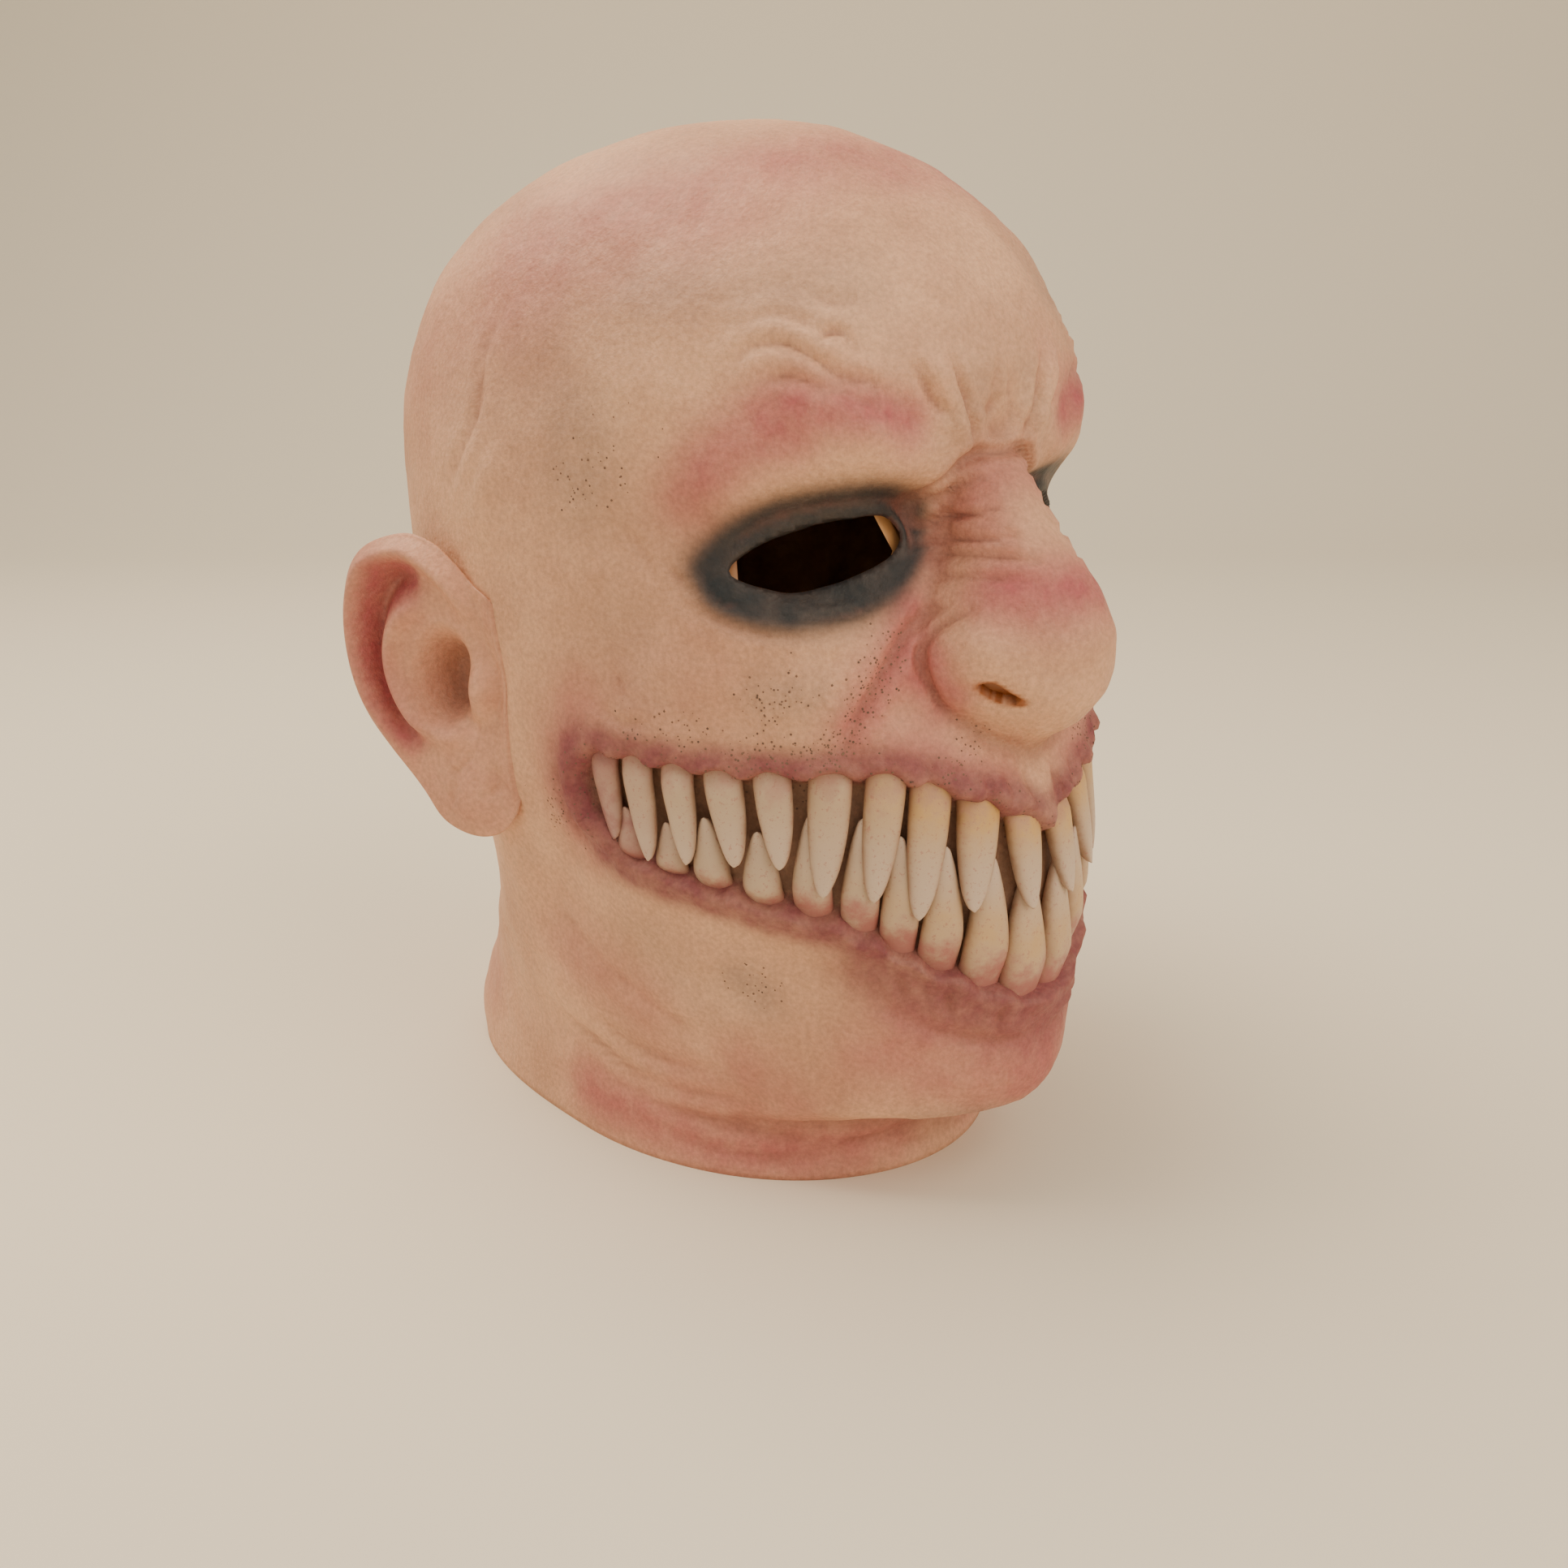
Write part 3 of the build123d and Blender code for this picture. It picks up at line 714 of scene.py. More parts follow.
def new_piece(name, points, faces, material, layers=None):
    """A smooth-shaded object from points in mm, riding on the mask, with its paint layers."""
    mesh = bpy.data.meshes.new(name)
    mesh.from_pydata((np.asarray(points) * MM).tolist(), [], faces)
    mesh.shade_smooth()
    for layer, values in (layers or {}).items():
        attribute = mesh.attributes.new(layer, "FLOAT", "POINT")
        attribute.data.foreach_set("value", np.asarray(values, np.float32))
    mesh.materials.append(material)
    mesh.update()
    piece = bpy.data.objects.new(name, mesh)
    bpy.context.scene.collection.objects.link(piece)
    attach(piece, "root")
    return piece


def tube(rings):
    """Vertices and faces of rings joined one to the next and closed at both ends by fans."""
    count = len(rings[0])
    points = np.vstack(rings + [rings[0].mean(axis=0), rings[-1].mean(axis=0)])
    faces = []
    for ring in range(len(rings) - 1):
        for k in range(count):
            after = (k + 1) % count
            here, there = ring * count, (ring + 1) * count
            faces.append((here + k, here + after, there + after, there + k))
    first, last = len(points) - 2, len(points) - 1
    top = (len(rings) - 1) * count
    for k in range(count):
        after = (k + 1) % count
        faces += [(after, k, first), (top + k, top + after, last)]
    return points, faces


# ---- teeth -----------------------------------------------------------------------------------
TOOTH_SIDES = 26
TOOTH_DEPTH = 0.27              # half the thickness of a tooth against its width
UPPER_FORM = np.array([(-0.16, 0.8), (-0.04, 0.94), (0.12, 1), (0.28, 1), (0.5, 0.93), (0.7, 0.78),
                       (0.84, 0.6), (0.93, 0.41), (0.98, 0.23), (1, 0.05)])
LOWER_FORM = np.array([(-0.14, 0.8), (-0.02, 0.93), (0.14, 1), (0.28, 1), (0.48, 0.89), (0.66, 0.71),
                       (0.82, 0.5), (0.92, 0.33), (0.98, 0.18), (1, 0.04)])


def tooth_rings(base, row, form, hand, rng):
    """Rings of one fang, from inside the gum to its rounded tip."""
    root_bearing, root_z, tip_bearing, tip_z, width, root_proud, tip_lift = row
    rings = []
    shares = np.concatenate([np.linspace(form[0, 0], 0.8, 15), np.linspace(0.85, 1.0, 7)])
    for t in shares:
        bearing = hand * (root_bearing + (tip_bearing - root_bearing) * t)
        height = root_z + (tip_z - root_z) * t
        spot = base.spot(bearing, np.clip(height, 40, 160))
        spot[2] = height
        before, after = base.spot(bearing - 2, height), base.spot(bearing + 2, height)
        along = before - after
        along /= np.linalg.norm(along)
        outward = np.array([along[1], -along[0], 0.0])
        if outward @ np.array([spot[0], spot[1] - AXIS_Y, 0]) < 0:
            outward = -outward
        fullness = float(smooth_curve(form[:, 0], form[:, 1], np.array([t]))[0])
        half_width = width / 2 * fullness
        half_depth = width * TOOTH_DEPTH * fullness ** 0.85
        proud = -0.8 + 3.0 * float(ease(t, -0.05, 0.3)) + tip_lift * float(ease(t, 0.2, 1.0)) + root_proud
        centre = spot + outward * (proud - half_depth)
        turn = np.linspace(0, 2 * math.pi, TOOTH_SIDES, endpoint=False)
        across = np.sign(np.cos(turn)) * np.abs(np.cos(turn)) ** 0.9
        out = np.sign(np.sin(turn)) * np.abs(np.sin(turn)) ** 0.9
        ring = centre + along * (half_width * across)[:, None] + outward * (half_depth * out)[:, None]
        rings.append(ring)
    wobble = rng.uniform(0, 100)
    rings = [ring + 0.12 * ripple(ring + wobble, 9, SEED)[:, None] for ring in rings]
    # the last values are painted shade, strongest down each tooth's sides where neighbours meet
    return rings, np.repeat(shares, TOOTH_SIDES), np.tile(np.abs(np.cos(turn)) ** 4, len(rings))


def build_tooth(base, jaw, number, row, hand, material):
    """One tooth, standing for its CAD node."""
    form = UPPER_FORM if jaw == "upper" else LOWER_FORM
    side = "right" if hand > 0 else "left"
    rng = np.random.default_rng(SEED + 100 * number + (7 if hand > 0 else 3) + (50 if jaw == "upper" else 0))
    rings, shares, side_shade = tooth_rings(base, row, form, hand, rng)
    points, faces = tube(rings)
    middle = (rings[0].mean(axis=0) + rings[-1].mean(axis=0)) / 2
    a, b, c = (points[k] for k in faces[len(faces) // 3][:3])
    if np.cross(b - a, c - a) @ ((a + b + c) / 3 - middle) < 0:
        faces = [face[::-1] for face in faces]
    share = np.concatenate([shares, [shares[0], 1.0]])
    back_teeth = float(ease(number, 8.6, 10))
    front_teeth = float(1 - ease(number, 1.5, 6))
    band, yellow, flush = (0.24, 1.15, 0.5) if jaw == "upper" else (0.45, 0.55, 0.95)
    stain = front_teeth * yellow * rng.uniform(0.85, 1.1) * bell(share - band, 0.24)
    # stain and rear are the teeth's own paint; the last layer is painted shade down each tooth's sides
    layers = {"down": share, "stain": stain, "gum": np.full(len(share), flush),
              "rear": np.full(len(share), back_teeth), "side_shade": np.append(side_shade, (0, 0))}
    node = f"{jaw}_tooth_{side}_{number}"
    piece = new_piece(f"{node}_fang", points, faces, material, layers)
    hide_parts(node)
    return piece


# ---- ears ------------------------------------------------------------------------------------
EAR_ROOT = np.array([-84.0, 24.0, 138.0])
EAR_SWING = math.radians(22.0)
EAR_CENTRE = (-15.0, 0.0)
EAR_WALL = 2.6
EAR_ROLL, EAR_ROLL_IN = 2.2, 2.6    # how far the rim rolls back and in
EAR_AROUND = 176                # points round each of the ear's rings
CURVE_STEPS = 400
# All ear curves are in the ear's flat: forward and up from its root.
EAR_EDGE = [(13, 22), (2, 27), (-4, 32.5), (-11, 37.5), (-20, 39.3), (-33.5, 34.3), (-39.8, 23),
            (-40.3, 7), (-36.6, -9), (-29.4, -21), (-19, -33), (-12, -41), (-1, -44), (8, -41),
            (13, -32), (15, -12), (16, 6.0)]
HELIX = [(3, 10), (0, 19.5), (-7, 29), (-19, 34.8), (-32, 30.5), (-36.9, 20.5), (-37.6, 7),
         (-34.2, -8), (-27.6, -19), (-18.5, -29.0)]
SCAPHA = [(-14, 27.5), (-24, 26.5), (-30.8, 18), (-32, 6), (-29, -6.5), (-23.5, -15.5), (-15.5, -22.5)]
ANTIHELIX = [(-10, 20.5), (-19.5, 18.5), (-25, 11), (-26.4, 1), (-23, -8), (-16.5, -14), (-8.5, -15.5)]


def curve_distance(a, b, stops):
    """Distance in the ear's flat from points to a curve, and the share of the way along it."""
    line = through(stops, CURVE_STEPS)
    gap = np.hypot(a[..., None] - line[:, 0], b[..., None] - line[:, 1])
    return gap.min(axis=-1), gap.argmin(axis=-1) / (CURVE_STEPS - 1)


def both_ends(share, start, stop):
    """1 along a curve, falling to 0 over its first and last shares."""
    return ease(share, 0.0, start) * (1 - ease(share, 1.0 - stop, 1.0))


def ear_relief(a, b):
    """Height of the ear's face over its flat."""
    helix, helix_share = curve_distance(a, b, HELIX)
    scapha, scapha_share = curve_distance(a, b, SCAPHA)
    antihelix, antihelix_share = curve_distance(a, b, ANTIHELIX)
    height = 2.6 + 5.2 * bell(helix, 3.1) * both_ends(helix_share, 0.22, 0.3)
    height -= 4.6 * bell(scapha, 2.9) * both_ends(scapha_share, 0.2, 0.3)
    height += 4.4 * bell(antihelix, 3.2) * both_ends(antihelix_share, 0.25, 0.25)
    bowl = np.hypot((a + 9.5) / 9.5, (b + 0.5) / 13.0)
    height -= 12.5 * (1 - ease(bowl, 0.25, 1.3))
    height += 6.5 * bell(np.hypot(a + 0.5, (b + 1.5) * 0.75), 5.2)
    height += 3.0 * bell(np.hypot(a + 9.0, b + 15.5), 4.5)
    height -= 2.4 * bell(np.hypot(a + 2.0, b + 12.5), 3.0)
    height += 3.2 * bell(np.hypot(a + 2.0, b + 33.0), 11.0)
    for stops, depth in (([(3.5, -22.0), (5.0, -28.0), (3.0, -33.0)], 1.3),
                         ([(-6.0, -24.0), (-7.5, -31.0), (-9.0, -37.0)], 1.0),
                         ([(-1.0, -18.0), (-4.0, -24.0), (-11.0, -27.0)], 0.9)):
        fold, fold_share = curve_distance(a, b, stops)
        height -= depth * bell(fold, 1.3) * both_ends(fold_share, 0.3, 0.3)
    return height


def on_skin(head, spots):
    """The places on the head's skin behind points beside it."""
    bearing = np.degrees(np.arctan2(-spots[:, 0], AXIS_Y - spots[:, 1]))
    skin = np.array([head.spot(turn, z) for turn, z in zip(bearing, spots[:, 2])])
    skin[:, 2] = spots[:, 2]
    return skin


def build_ear(head, hand, material):
    """One ear: a sculpted face rolled over at its rim, and a back that follows it a wall's thickness behind;
    its front edge and its bowl sink into the head."""
    forward = np.array([math.sin(EAR_SWING), -math.cos(EAR_SWING), 0.0])
    outward = np.array([-math.cos(EAR_SWING), -math.sin(EAR_SWING), 0.0])
    edge = through(EAR_EDGE, EAR_AROUND, closed=True)
    centre = np.array(EAR_CENTRE)
    rings, layers = [], {"rose": [], "shade": []}

    def settled(a, b):
        return (ease(a, -3.0, 10.0) * ease(b, -38, -22))[:, None]

    def place(a, b, h):
        spot = EAR_ROOT + a[:, None] * forward + h[:, None] * outward
        spot[:, 2] += b
        return spot

    for share in np.linspace(0.012, 1.0, 62) ** 0.85:
        flat = centre + share * (edge - centre)
        a, b = flat[:, 0], flat[:, 1]
        spot = place(a, b, ear_relief(a, b))
        skin = on_skin(head, spot)
        sunk = skin + outward * (0.5 - 2.2 * ease(a, 10.0, 15.0))[:, None]
        spot = spot + (sunk - spot) * settled(a, b)
        cover = 1.1 - 2.8 * ease(a, 10.0, 15.0)
        spot += outward * np.maximum(cover - (spot - skin) @ outward, 0)[:, None]
        rings.append(spot)
        # the rose is the ear's paint, heavier in the scapha groove, the bowl and the upper ear, and in the
        # groove and the bowl it is also painted shade; the shade layer is painted shade in the bowl and the
        # groove
        groove, groove_share = curve_distance(a, b, SCAPHA)
        bowl = 1 - ease(np.hypot((a + 9.5) / 8.0, (b + 1.0) / 12.0), 0.4, 1.3)
        upper = bell(np.hypot((a + 24) / 1.3, b - 24), 8)
        along = both_ends(groove_share, 0.1, 0.15)
        rose = 0.3 + 0.95 * bell(groove, 5.0) * along + 0.3 * bowl + 0.4 * upper
        layers["rose"].append(np.clip(rose, 0, 1))
        layers["shade"].append(0.95 * bowl + 0.4 * bell(groove, 2.0) * along)
    rim = rings[-1]
    inset = edge - centre
    inset /= np.linalg.norm(inset, axis=1, keepdims=True)
    in_plane = -(inset[:, :1] * forward + np.outer(inset[:, 1], (0, 0, 1)))
    for turn in (0.35, 0.7, 1.0):
        swing = turn * math.pi / 2
        back, inward = EAR_ROLL * math.sin(swing), EAR_ROLL_IN * (1 - math.cos(swing))
        rings.append(rim - outward * back + in_plane * inward)
    turned_in = edge - centre - EAR_ROLL_IN * inset
    for share in np.linspace(1.0, 0.04, 34)[1:]:
        flat = centre + share * turned_in
        a, b = flat[:, 0], flat[:, 1]
        spot = place(a, b, np.minimum(ear_relief(a, b), 5.0) - EAR_WALL)
        sunk = on_skin(head, spot) - outward * EAR_WALL
        rings.append(spot + (sunk - spot) * settled(a, b))
    for _ in range(len(rings) - len(layers["rose"])):
        layers["rose"].append(np.full(EAR_AROUND, 0.15))
        layers["shade"].append(np.zeros(EAR_AROUND))
    if hand < 0:
        rings = [ring * (-1, 1, 1) for ring in rings]
    points, faces = tube(rings)
    if hand > 0:
        faces = [face[::-1] for face in faces]
    values = {name: np.concatenate(parts + [parts[0][:1], parts[-1][:1]]) for name, parts in layers.items()}
    side = "right" if hand > 0 else "left"
    piece = new_piece(f"ear_{side}_sculpt", points, faces, material, values)
    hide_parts(f"ear_{side}")
    return piece


# ---- finishes --------------------------------------------------------------------------------
def colour(code):
    """An sRGB hex value as linear red, green, blue and alpha."""
    shares = [int(code[k:k + 2], 16) / 255 for k in (1, 3, 5)]
    return (*[c / 12.92 if c <= 0.04045 else ((c + 0.055) / 1.055) ** 2.4 for c in shares], 1.0)


def add(tree, kind, inputs=None, **settings):
    """Add a node with its settings; each input takes a value, or another node's output."""
    node = tree.nodes.new(kind)
    for name, value in settings.items():
        setattr(node, name, value)
    for key, value in (inputs or {}).items():
        if isinstance(value, bpy.types.NodeSocket):
            tree.links.new(value, node.inputs[key])
        else:
            node.inputs[key].default_value = value
    return node


def blank_material(name):
    """A new material and its node tree, emptied."""
    material = bpy.data.materials.new(name)
    material.use_nodes = True
    material.node_tree.nodes.clear()
    return material, material.node_tree


def airbrushed_latex(name, colours, ear=False):
    """Slip-cast latex, airbrushed in thin coats of rubber paint: a satin skin of two flesh tones with rose,
    grey, slate and plum over them, each coat patchy. Painted shade lies on the web sunk behind the teeth, a
    brown wash with painted shade darkens the folds the more the deeper they lie, and on the ears painted
    shade fills the bowl and the groove."""
    material, tree = blank_material(name)
    place = add(tree, "ShaderNodeTexCoord").outputs["Object"]
    # coats vary over about 45 mm, patches over about 9 mm, and the spray's speckle is about 1.3 mm;
    # the leathery texture stippled into the clay is about 1.1 mm, over lumps of about 4 mm
    drift, patch, speck, stipple, lumps = (
        add(tree, "ShaderNodeTexNoise",
            {"Vector": place, "Scale": scale, "Detail": detail, "Roughness": rough}).outputs["Fac"]
        for scale, detail, rough in ((22, 3, 0.55), (110, 3, 0.6), (760, 2, 0.6), (900, 3, 0.6),
                                     (240, 4, 0.6)))
    tone = add(tree, "ShaderNodeMapRange", {"Value": drift, "From Min": 0.38, "From Max": 0.62})
    skin = add(tree, "ShaderNodeMix", {0: tone.outputs[0], 6: colours.flesh_pale, 7: colours.flesh_tan},
               data_type="RGBA").outputs[2]
    # rose, ash, plum, slate and raw are the mask's paint; the web coat is painted shade, and the last coat is
    # a brown wash with painted shade in the folds
    coats_and_shades = [("rose", colours.rose, 0.94, 0.25), ("ash", colours.ash, 0.85, 0.4),
             ("plum", colours.plum, 0.95, 0.3),
             ("slate", colours.slate, 1.0, 0.05), ("web", colours.web, 1.0, 0.1),
             ("raw", colours.raw, 1.0, 0.0),
             ("wash_and_fold_shade", colours.wash_and_fold_shade, 0.55, 0.3)]
    if ear:
        coats_and_shades = [("rose", colours.rose, 0.95, 0.3), ("shade", colours.web, 0.6, 0.2)]
    for layer, tint, strength, patchy in coats_and_shades:
        paint_and_shade_amount = add(tree, "ShaderNodeAttribute", attribute_name=layer).outputs["Fac"]
        gaps = add(tree, "ShaderNodeMapRange",
                   {"Value": patch, "From Min": 0.35, "From Max": 0.65,
                    "To Min": strength * (1 - patchy), "To Max": strength}).outputs[0]
        cover = add(tree, "ShaderNodeMath", {0: paint_and_shade_amount, 1: gaps}, operation="MULTIPLY",
                    use_clamp=True).outputs[0]
        skin = add(tree, "ShaderNodeMix", {0: cover, 6: skin, 7: tint}, data_type="RGBA").outputs[2]
    fleck = add(tree, "ShaderNodeMapRange", {"Value": speck, "From Min": 0.3, "From Max": 0.7,
                                             "To Min": 0.86, "To Max": 1.12}).outputs[0]
    skin = add(tree, "ShaderNodeMix", {0: 1.0, 6: skin, 7: fleck}, data_type="RGBA",
               blend_type="MULTIPLY").outputs[2]
    both = add(tree, "ShaderNodeMath", {0: stipple, 1: 0.35, 2: lumps},
               operation="MULTIPLY_ADD").outputs[0]
    relief = add(tree, "ShaderNodeBump", {"Height": both, "Strength": 0.55, "Distance": 0.0011}).outputs[0]
    gloss = add(tree, "ShaderNodeMapRange", {"Value": patch, "From Min": 0.3, "From Max": 0.7,
                                             "To Min": 0.5, "To Max": 0.66}).outputs[0]
    surface = add(tree, "ShaderNodeBsdfPrincipled",
                  {"Base Color": skin, "Roughness": gloss, "IOR": 1.47, "Normal": relief,
                   "Specular IOR Level": 0.42, "Subsurface Weight": 0.08,
                   "Subsurface Radius": (0.004, 0.0018, 0.001), "Subsurface Scale": 1.0})
    add(tree, "ShaderNodeOutputMaterial", {"Surface": surface.outputs[0]})
    return material


def raw_latex(colours):
    """Bare cured latex on the inside: translucent amber that darkens where the slip pooled, half glossy."""
    material, tree = blank_material("raw_cured_latex")
    place = add(tree, "ShaderNodeTexCoord").outputs["Object"]
    # pools are about 30 mm across, drips about 6 mm
    pools = add(tree, "ShaderNodeTexNoise",
                {"Vector": place, "Scale": 33, "Detail": 4, "Roughness": 0.6}).outputs["Fac"]
    drips = add(tree, "ShaderNodeTexNoise", {"Vector": place, "Scale": 160, "Detail": 2}).outputs["Fac"]
    depth = add(tree, "ShaderNodeMapRange", {"Value": pools, "From Min": 0.35, "From Max": 0.65})
    amber = add(tree, "ShaderNodeMix", {0: depth.outputs[0], 6: colours.lining, 7: colours.raw},
                data_type="RGBA")
    relief = add(tree, "ShaderNodeBump", {"Height": drips, "Strength": 0.5, "Distance": 0.0012})
    surface = add(tree, "ShaderNodeBsdfPrincipled",
                  {"Base Color": amber.outputs[2], "Roughness": 0.42, "IOR": 1.52,
                   "Normal": relief.outputs[0]})
    add(tree, "ShaderNodeOutputMaterial", {"Surface": surface.outputs[0]})
    return material


def painted_tooth_latex(colours):
    """Teeth cast in the same latex and dry-brushed, satin: bone that runs from a gum-red root to a paler tip,
    yellowed on the front teeth and rosy on the back ones, with painted shade down each tooth's sides between
    neighbours."""
    material, tree = blank_material("dry_brushed_tooth_latex")
    place = add(tree, "ShaderNodeTexCoord").outputs["Object"]
    down = add(tree, "ShaderNodeAttribute", attribute_name="down").outputs["Fac"]
    # dry-brush patches are about 7 mm; flecks of about 1 mm are painted shade in the casting pits
    patch, speck = (
        add(tree, "ShaderNodeTexNoise",
            {"Vector": place, "Scale": scale, "Detail": detail, "Roughness": rough}).outputs["Fac"]
        for scale, detail, rough in ((140, 4, 0.65), (1000, 2, 0.7)))
    uneven = add(tree, "ShaderNodeMath", {0: patch, 1: -0.45}, operation="ADD").outputs[0]
    edge = add(tree, "ShaderNodeMath", {0: uneven, 1: 0.9, 2: down}, operation="MULTIPLY_ADD").outputs[0]
    root = add(tree, "ShaderNodeMapRange", {"Value": edge, "From Min": 0.05, "From Max": 0.42, "To Min": 0.9,
                                            "To Max": 0.0}, interpolation_type="SMOOTHSTEP").outputs[0]
    gum = add(tree, "ShaderNodeAttribute", attribute_name="gum").outputs["Fac"]
    root = add(tree, "ShaderNodeMath", {0: root, 1: gum}, operation="MULTIPLY").outputs[0]
    tip = add(tree, "ShaderNodeMapRange", {"Value": down, "From Min": 0.4, "From Max": 1.0}).outputs[0]
    bone = add(tree, "ShaderNodeMix", {0: tip, 6: colours.tooth, 7: colours.tooth_tip},
               data_type="RGBA").outputs[2]
    # the stain and the rosy rear teeth are the teeth's own paint; the third layer is painted shade down each
    # tooth's sides
    for layer, tint in (("stain", colours.tooth_stain), ("rear", colours.tooth_rear), ("side_shade", colours.web)):
        stain_and_shade = add(tree, "ShaderNodeAttribute", attribute_name=layer).outputs["Fac"]
        gaps = add(tree, "ShaderNodeMapRange", {"Value": patch, "From Min": 0.4, "From Max": 0.6,
                                                "To Min": 0.45, "To Max": 0.8}).outputs[0]
        cover = add(tree, "ShaderNodeMath", {0: stain_and_shade, 1: gaps}, operation="MULTIPLY").outputs[0]
        bone = add(tree, "ShaderNodeMix", {0: cover, 6: bone, 7: tint}, data_type="RGBA").outputs[2]
    tooth = add(tree, "ShaderNodeMix", {0: root, 6: bone, 7: colours.tooth_root}, data_type="RGBA").outputs[2]
    # painted shade: specks of the gum colour stand for the dark of the casting pits
    fleck = add(tree, "ShaderNodeMapRange", {"Value": speck, "From Min": 0.6, "From Max": 0.68,
                                             "To Min": 0.0, "To Max": 0.45}).outputs[0]
    tooth = add(tree, "ShaderNodeMix", {0: fleck, 6: tooth, 7: colours.tooth_root},
                data_type="RGBA").outputs[2]
    relief = add(tree, "ShaderNodeBump", {"Height": patch, "Strength": 0.5, "Distance": 0.0008})
    surface = add(tree, "ShaderNodeBsdfPrincipled",
                  {"Base Color": tooth, "Roughness": 0.5, "IOR": 1.48, "Normal": relief.outputs[0],
                   "Subsurface Weight": 0.08, "Subsurface Radius": (0.003, 0.0018, 0.001),
                   "Subsurface Scale": 1.0})
    add(tree, "ShaderNodeOutputMaterial", {"Surface": surface.outputs[0]})
    return material


def pinhole_shadow(colours):
    """Painted shadow for the unpainted depth of a pinhole: brown latex that no light reaches."""
    material, tree = blank_material("pinhole_painted_shadow")
    place = add(tree, "ShaderNodeTexCoord").outputs["Object"]
    # painted shadow, mottled between the web's brown and the slate's near-black
    shadow_mottle = add(tree, "ShaderNodeTexNoise", {"Vector": place, "Scale": 300.0})
    depth = add(tree, "ShaderNodeMix", {0: shadow_mottle.outputs["Fac"], 6: colours.web, 7: colours.slate},
                data_type="RGBA")
    surface = add(tree, "ShaderNodeBsdfPrincipled", {"Base Color": depth.outputs[2], "Roughness": 0.85})
    add(tree, "ShaderNodeOutputMaterial", {"Surface": surface.outputs[0]})
    return material


def matt_board(name, tint):
    """Painted board under and behind the mask, plain and matt."""
    material = bpy.data.materials.new(name)
    material.use_nodes = True
    shader = material.node_tree.nodes["Principled BSDF"]
    shader.inputs["Base Color"].default_value = tint
    shader.inputs["Roughness"].default_value = 0.9
    return material


# ---- pinholes --------------------------------------------------------------------------------
def pinhole_tree(material):
    """Geometry nodes that scatter small dark pits over the skin where its pinholes layer is strong: flat
    beads in painted shadow.
    """
    tree = bpy.data.node_groups.new("pinhole_scatter", "GeometryNodeTree")
    sockets = tree.interface
    sockets.new_socket("Geometry", in_out="INPUT", socket_type="NodeSocketGeometry")
    width = sockets.new_socket("Pit width", in_out="INPUT", socket_type="NodeSocketFloat")
    density = sockets.new_socket("Pits per square metre", in_out="INPUT", socket_type="NodeSocketFloat")
    seed = sockets.new_socket("Seed", in_out="INPUT", socket_type="NodeSocketInt")
    sockets.new_socket("Geometry", in_out="OUTPUT", socket_type="NodeSocketGeometry")
    start = add(tree, "NodeGroupInput").outputs
    layer = add(tree, "GeometryNodeInputNamedAttribute", {"Name": "pinholes"},
                data_type="FLOAT").outputs["Attribute"]
    amount = add(tree, "ShaderNodeMath", {0: layer, 1: start["Pits per square metre"]},
                 operation="MULTIPLY").outputs[0]
    scatter = add(tree, "GeometryNodeDistributePointsOnFaces",
                  {"Mesh": start["Geometry"], "Density": amount, "Seed": start["Seed"]})
    half = add(tree, "ShaderNodeMath", {0: start["Pit width"], 1: 0.5}, operation="MULTIPLY").outputs[0]
    bead = add(tree, "GeometryNodeMeshIcoSphere", {"Radius": half, "Subdivisions": 1}).outputs["Mesh"]
    flat = add(tree, "GeometryNodeTransform", {"Geometry": bead, "Scale": (1.0, 1.0, 0.35)}).outputs[0]
    spread = add(tree, "FunctionNodeRandomValue", {2: 0.45, 3: 1.25, "Seed": start["Seed"]},
                 data_type="FLOAT").outputs[1]
    pits = add(tree, "GeometryNodeInstanceOnPoints",
               {"Points": scatter.outputs["Points"], "Instance": flat,
                "Rotation": scatter.outputs["Rotation"],
                "Scale": spread}).outputs[0]
    real = add(tree, "GeometryNodeRealizeInstances", {"Geometry": pits}).outputs[0]
    finish = add(tree, "GeometryNodeSetMaterial", {"Geometry": real, "Material": material}).outputs[0]
    add(tree, "NodeGroupOutput", {"Geometry": finish})
    return tree, width.identifier, density.identifier, seed.identifier


# ---- settings --------------------------------------------------------------------------------
def tint(name, description, code):
    return bpy.props.FloatVectorProperty(name=name, description=description, default=colour(code), size=4,
                                         subtype="COLOR", min=0.0, max=1.0)


class MaskSizes(bpy.types.PropertyGroup):
    skin_wall: bpy.props.FloatProperty(name="Skin thickness", description="Wall of the cast latex",
                                       default=0.0024, unit="LENGTH")
    rows: bpy.props.IntProperty(name="Rows", description="Rows of points from neck rim to crown", default=246)
    columns: bpy.props.IntProperty(name="Columns", description="Columns of points round the head",
                                   default=380)
    pit_width: bpy.props.FloatProperty(name="Pinhole width",
                                       description="Width of a middling casting pinhole",
                                       default=0.0006, unit="LENGTH")
    pit_density: bpy.props.FloatProperty(name="Pinholes per square metre",
                                         description="Pinholes where their layer is strongest",
                                         default=620000.0)


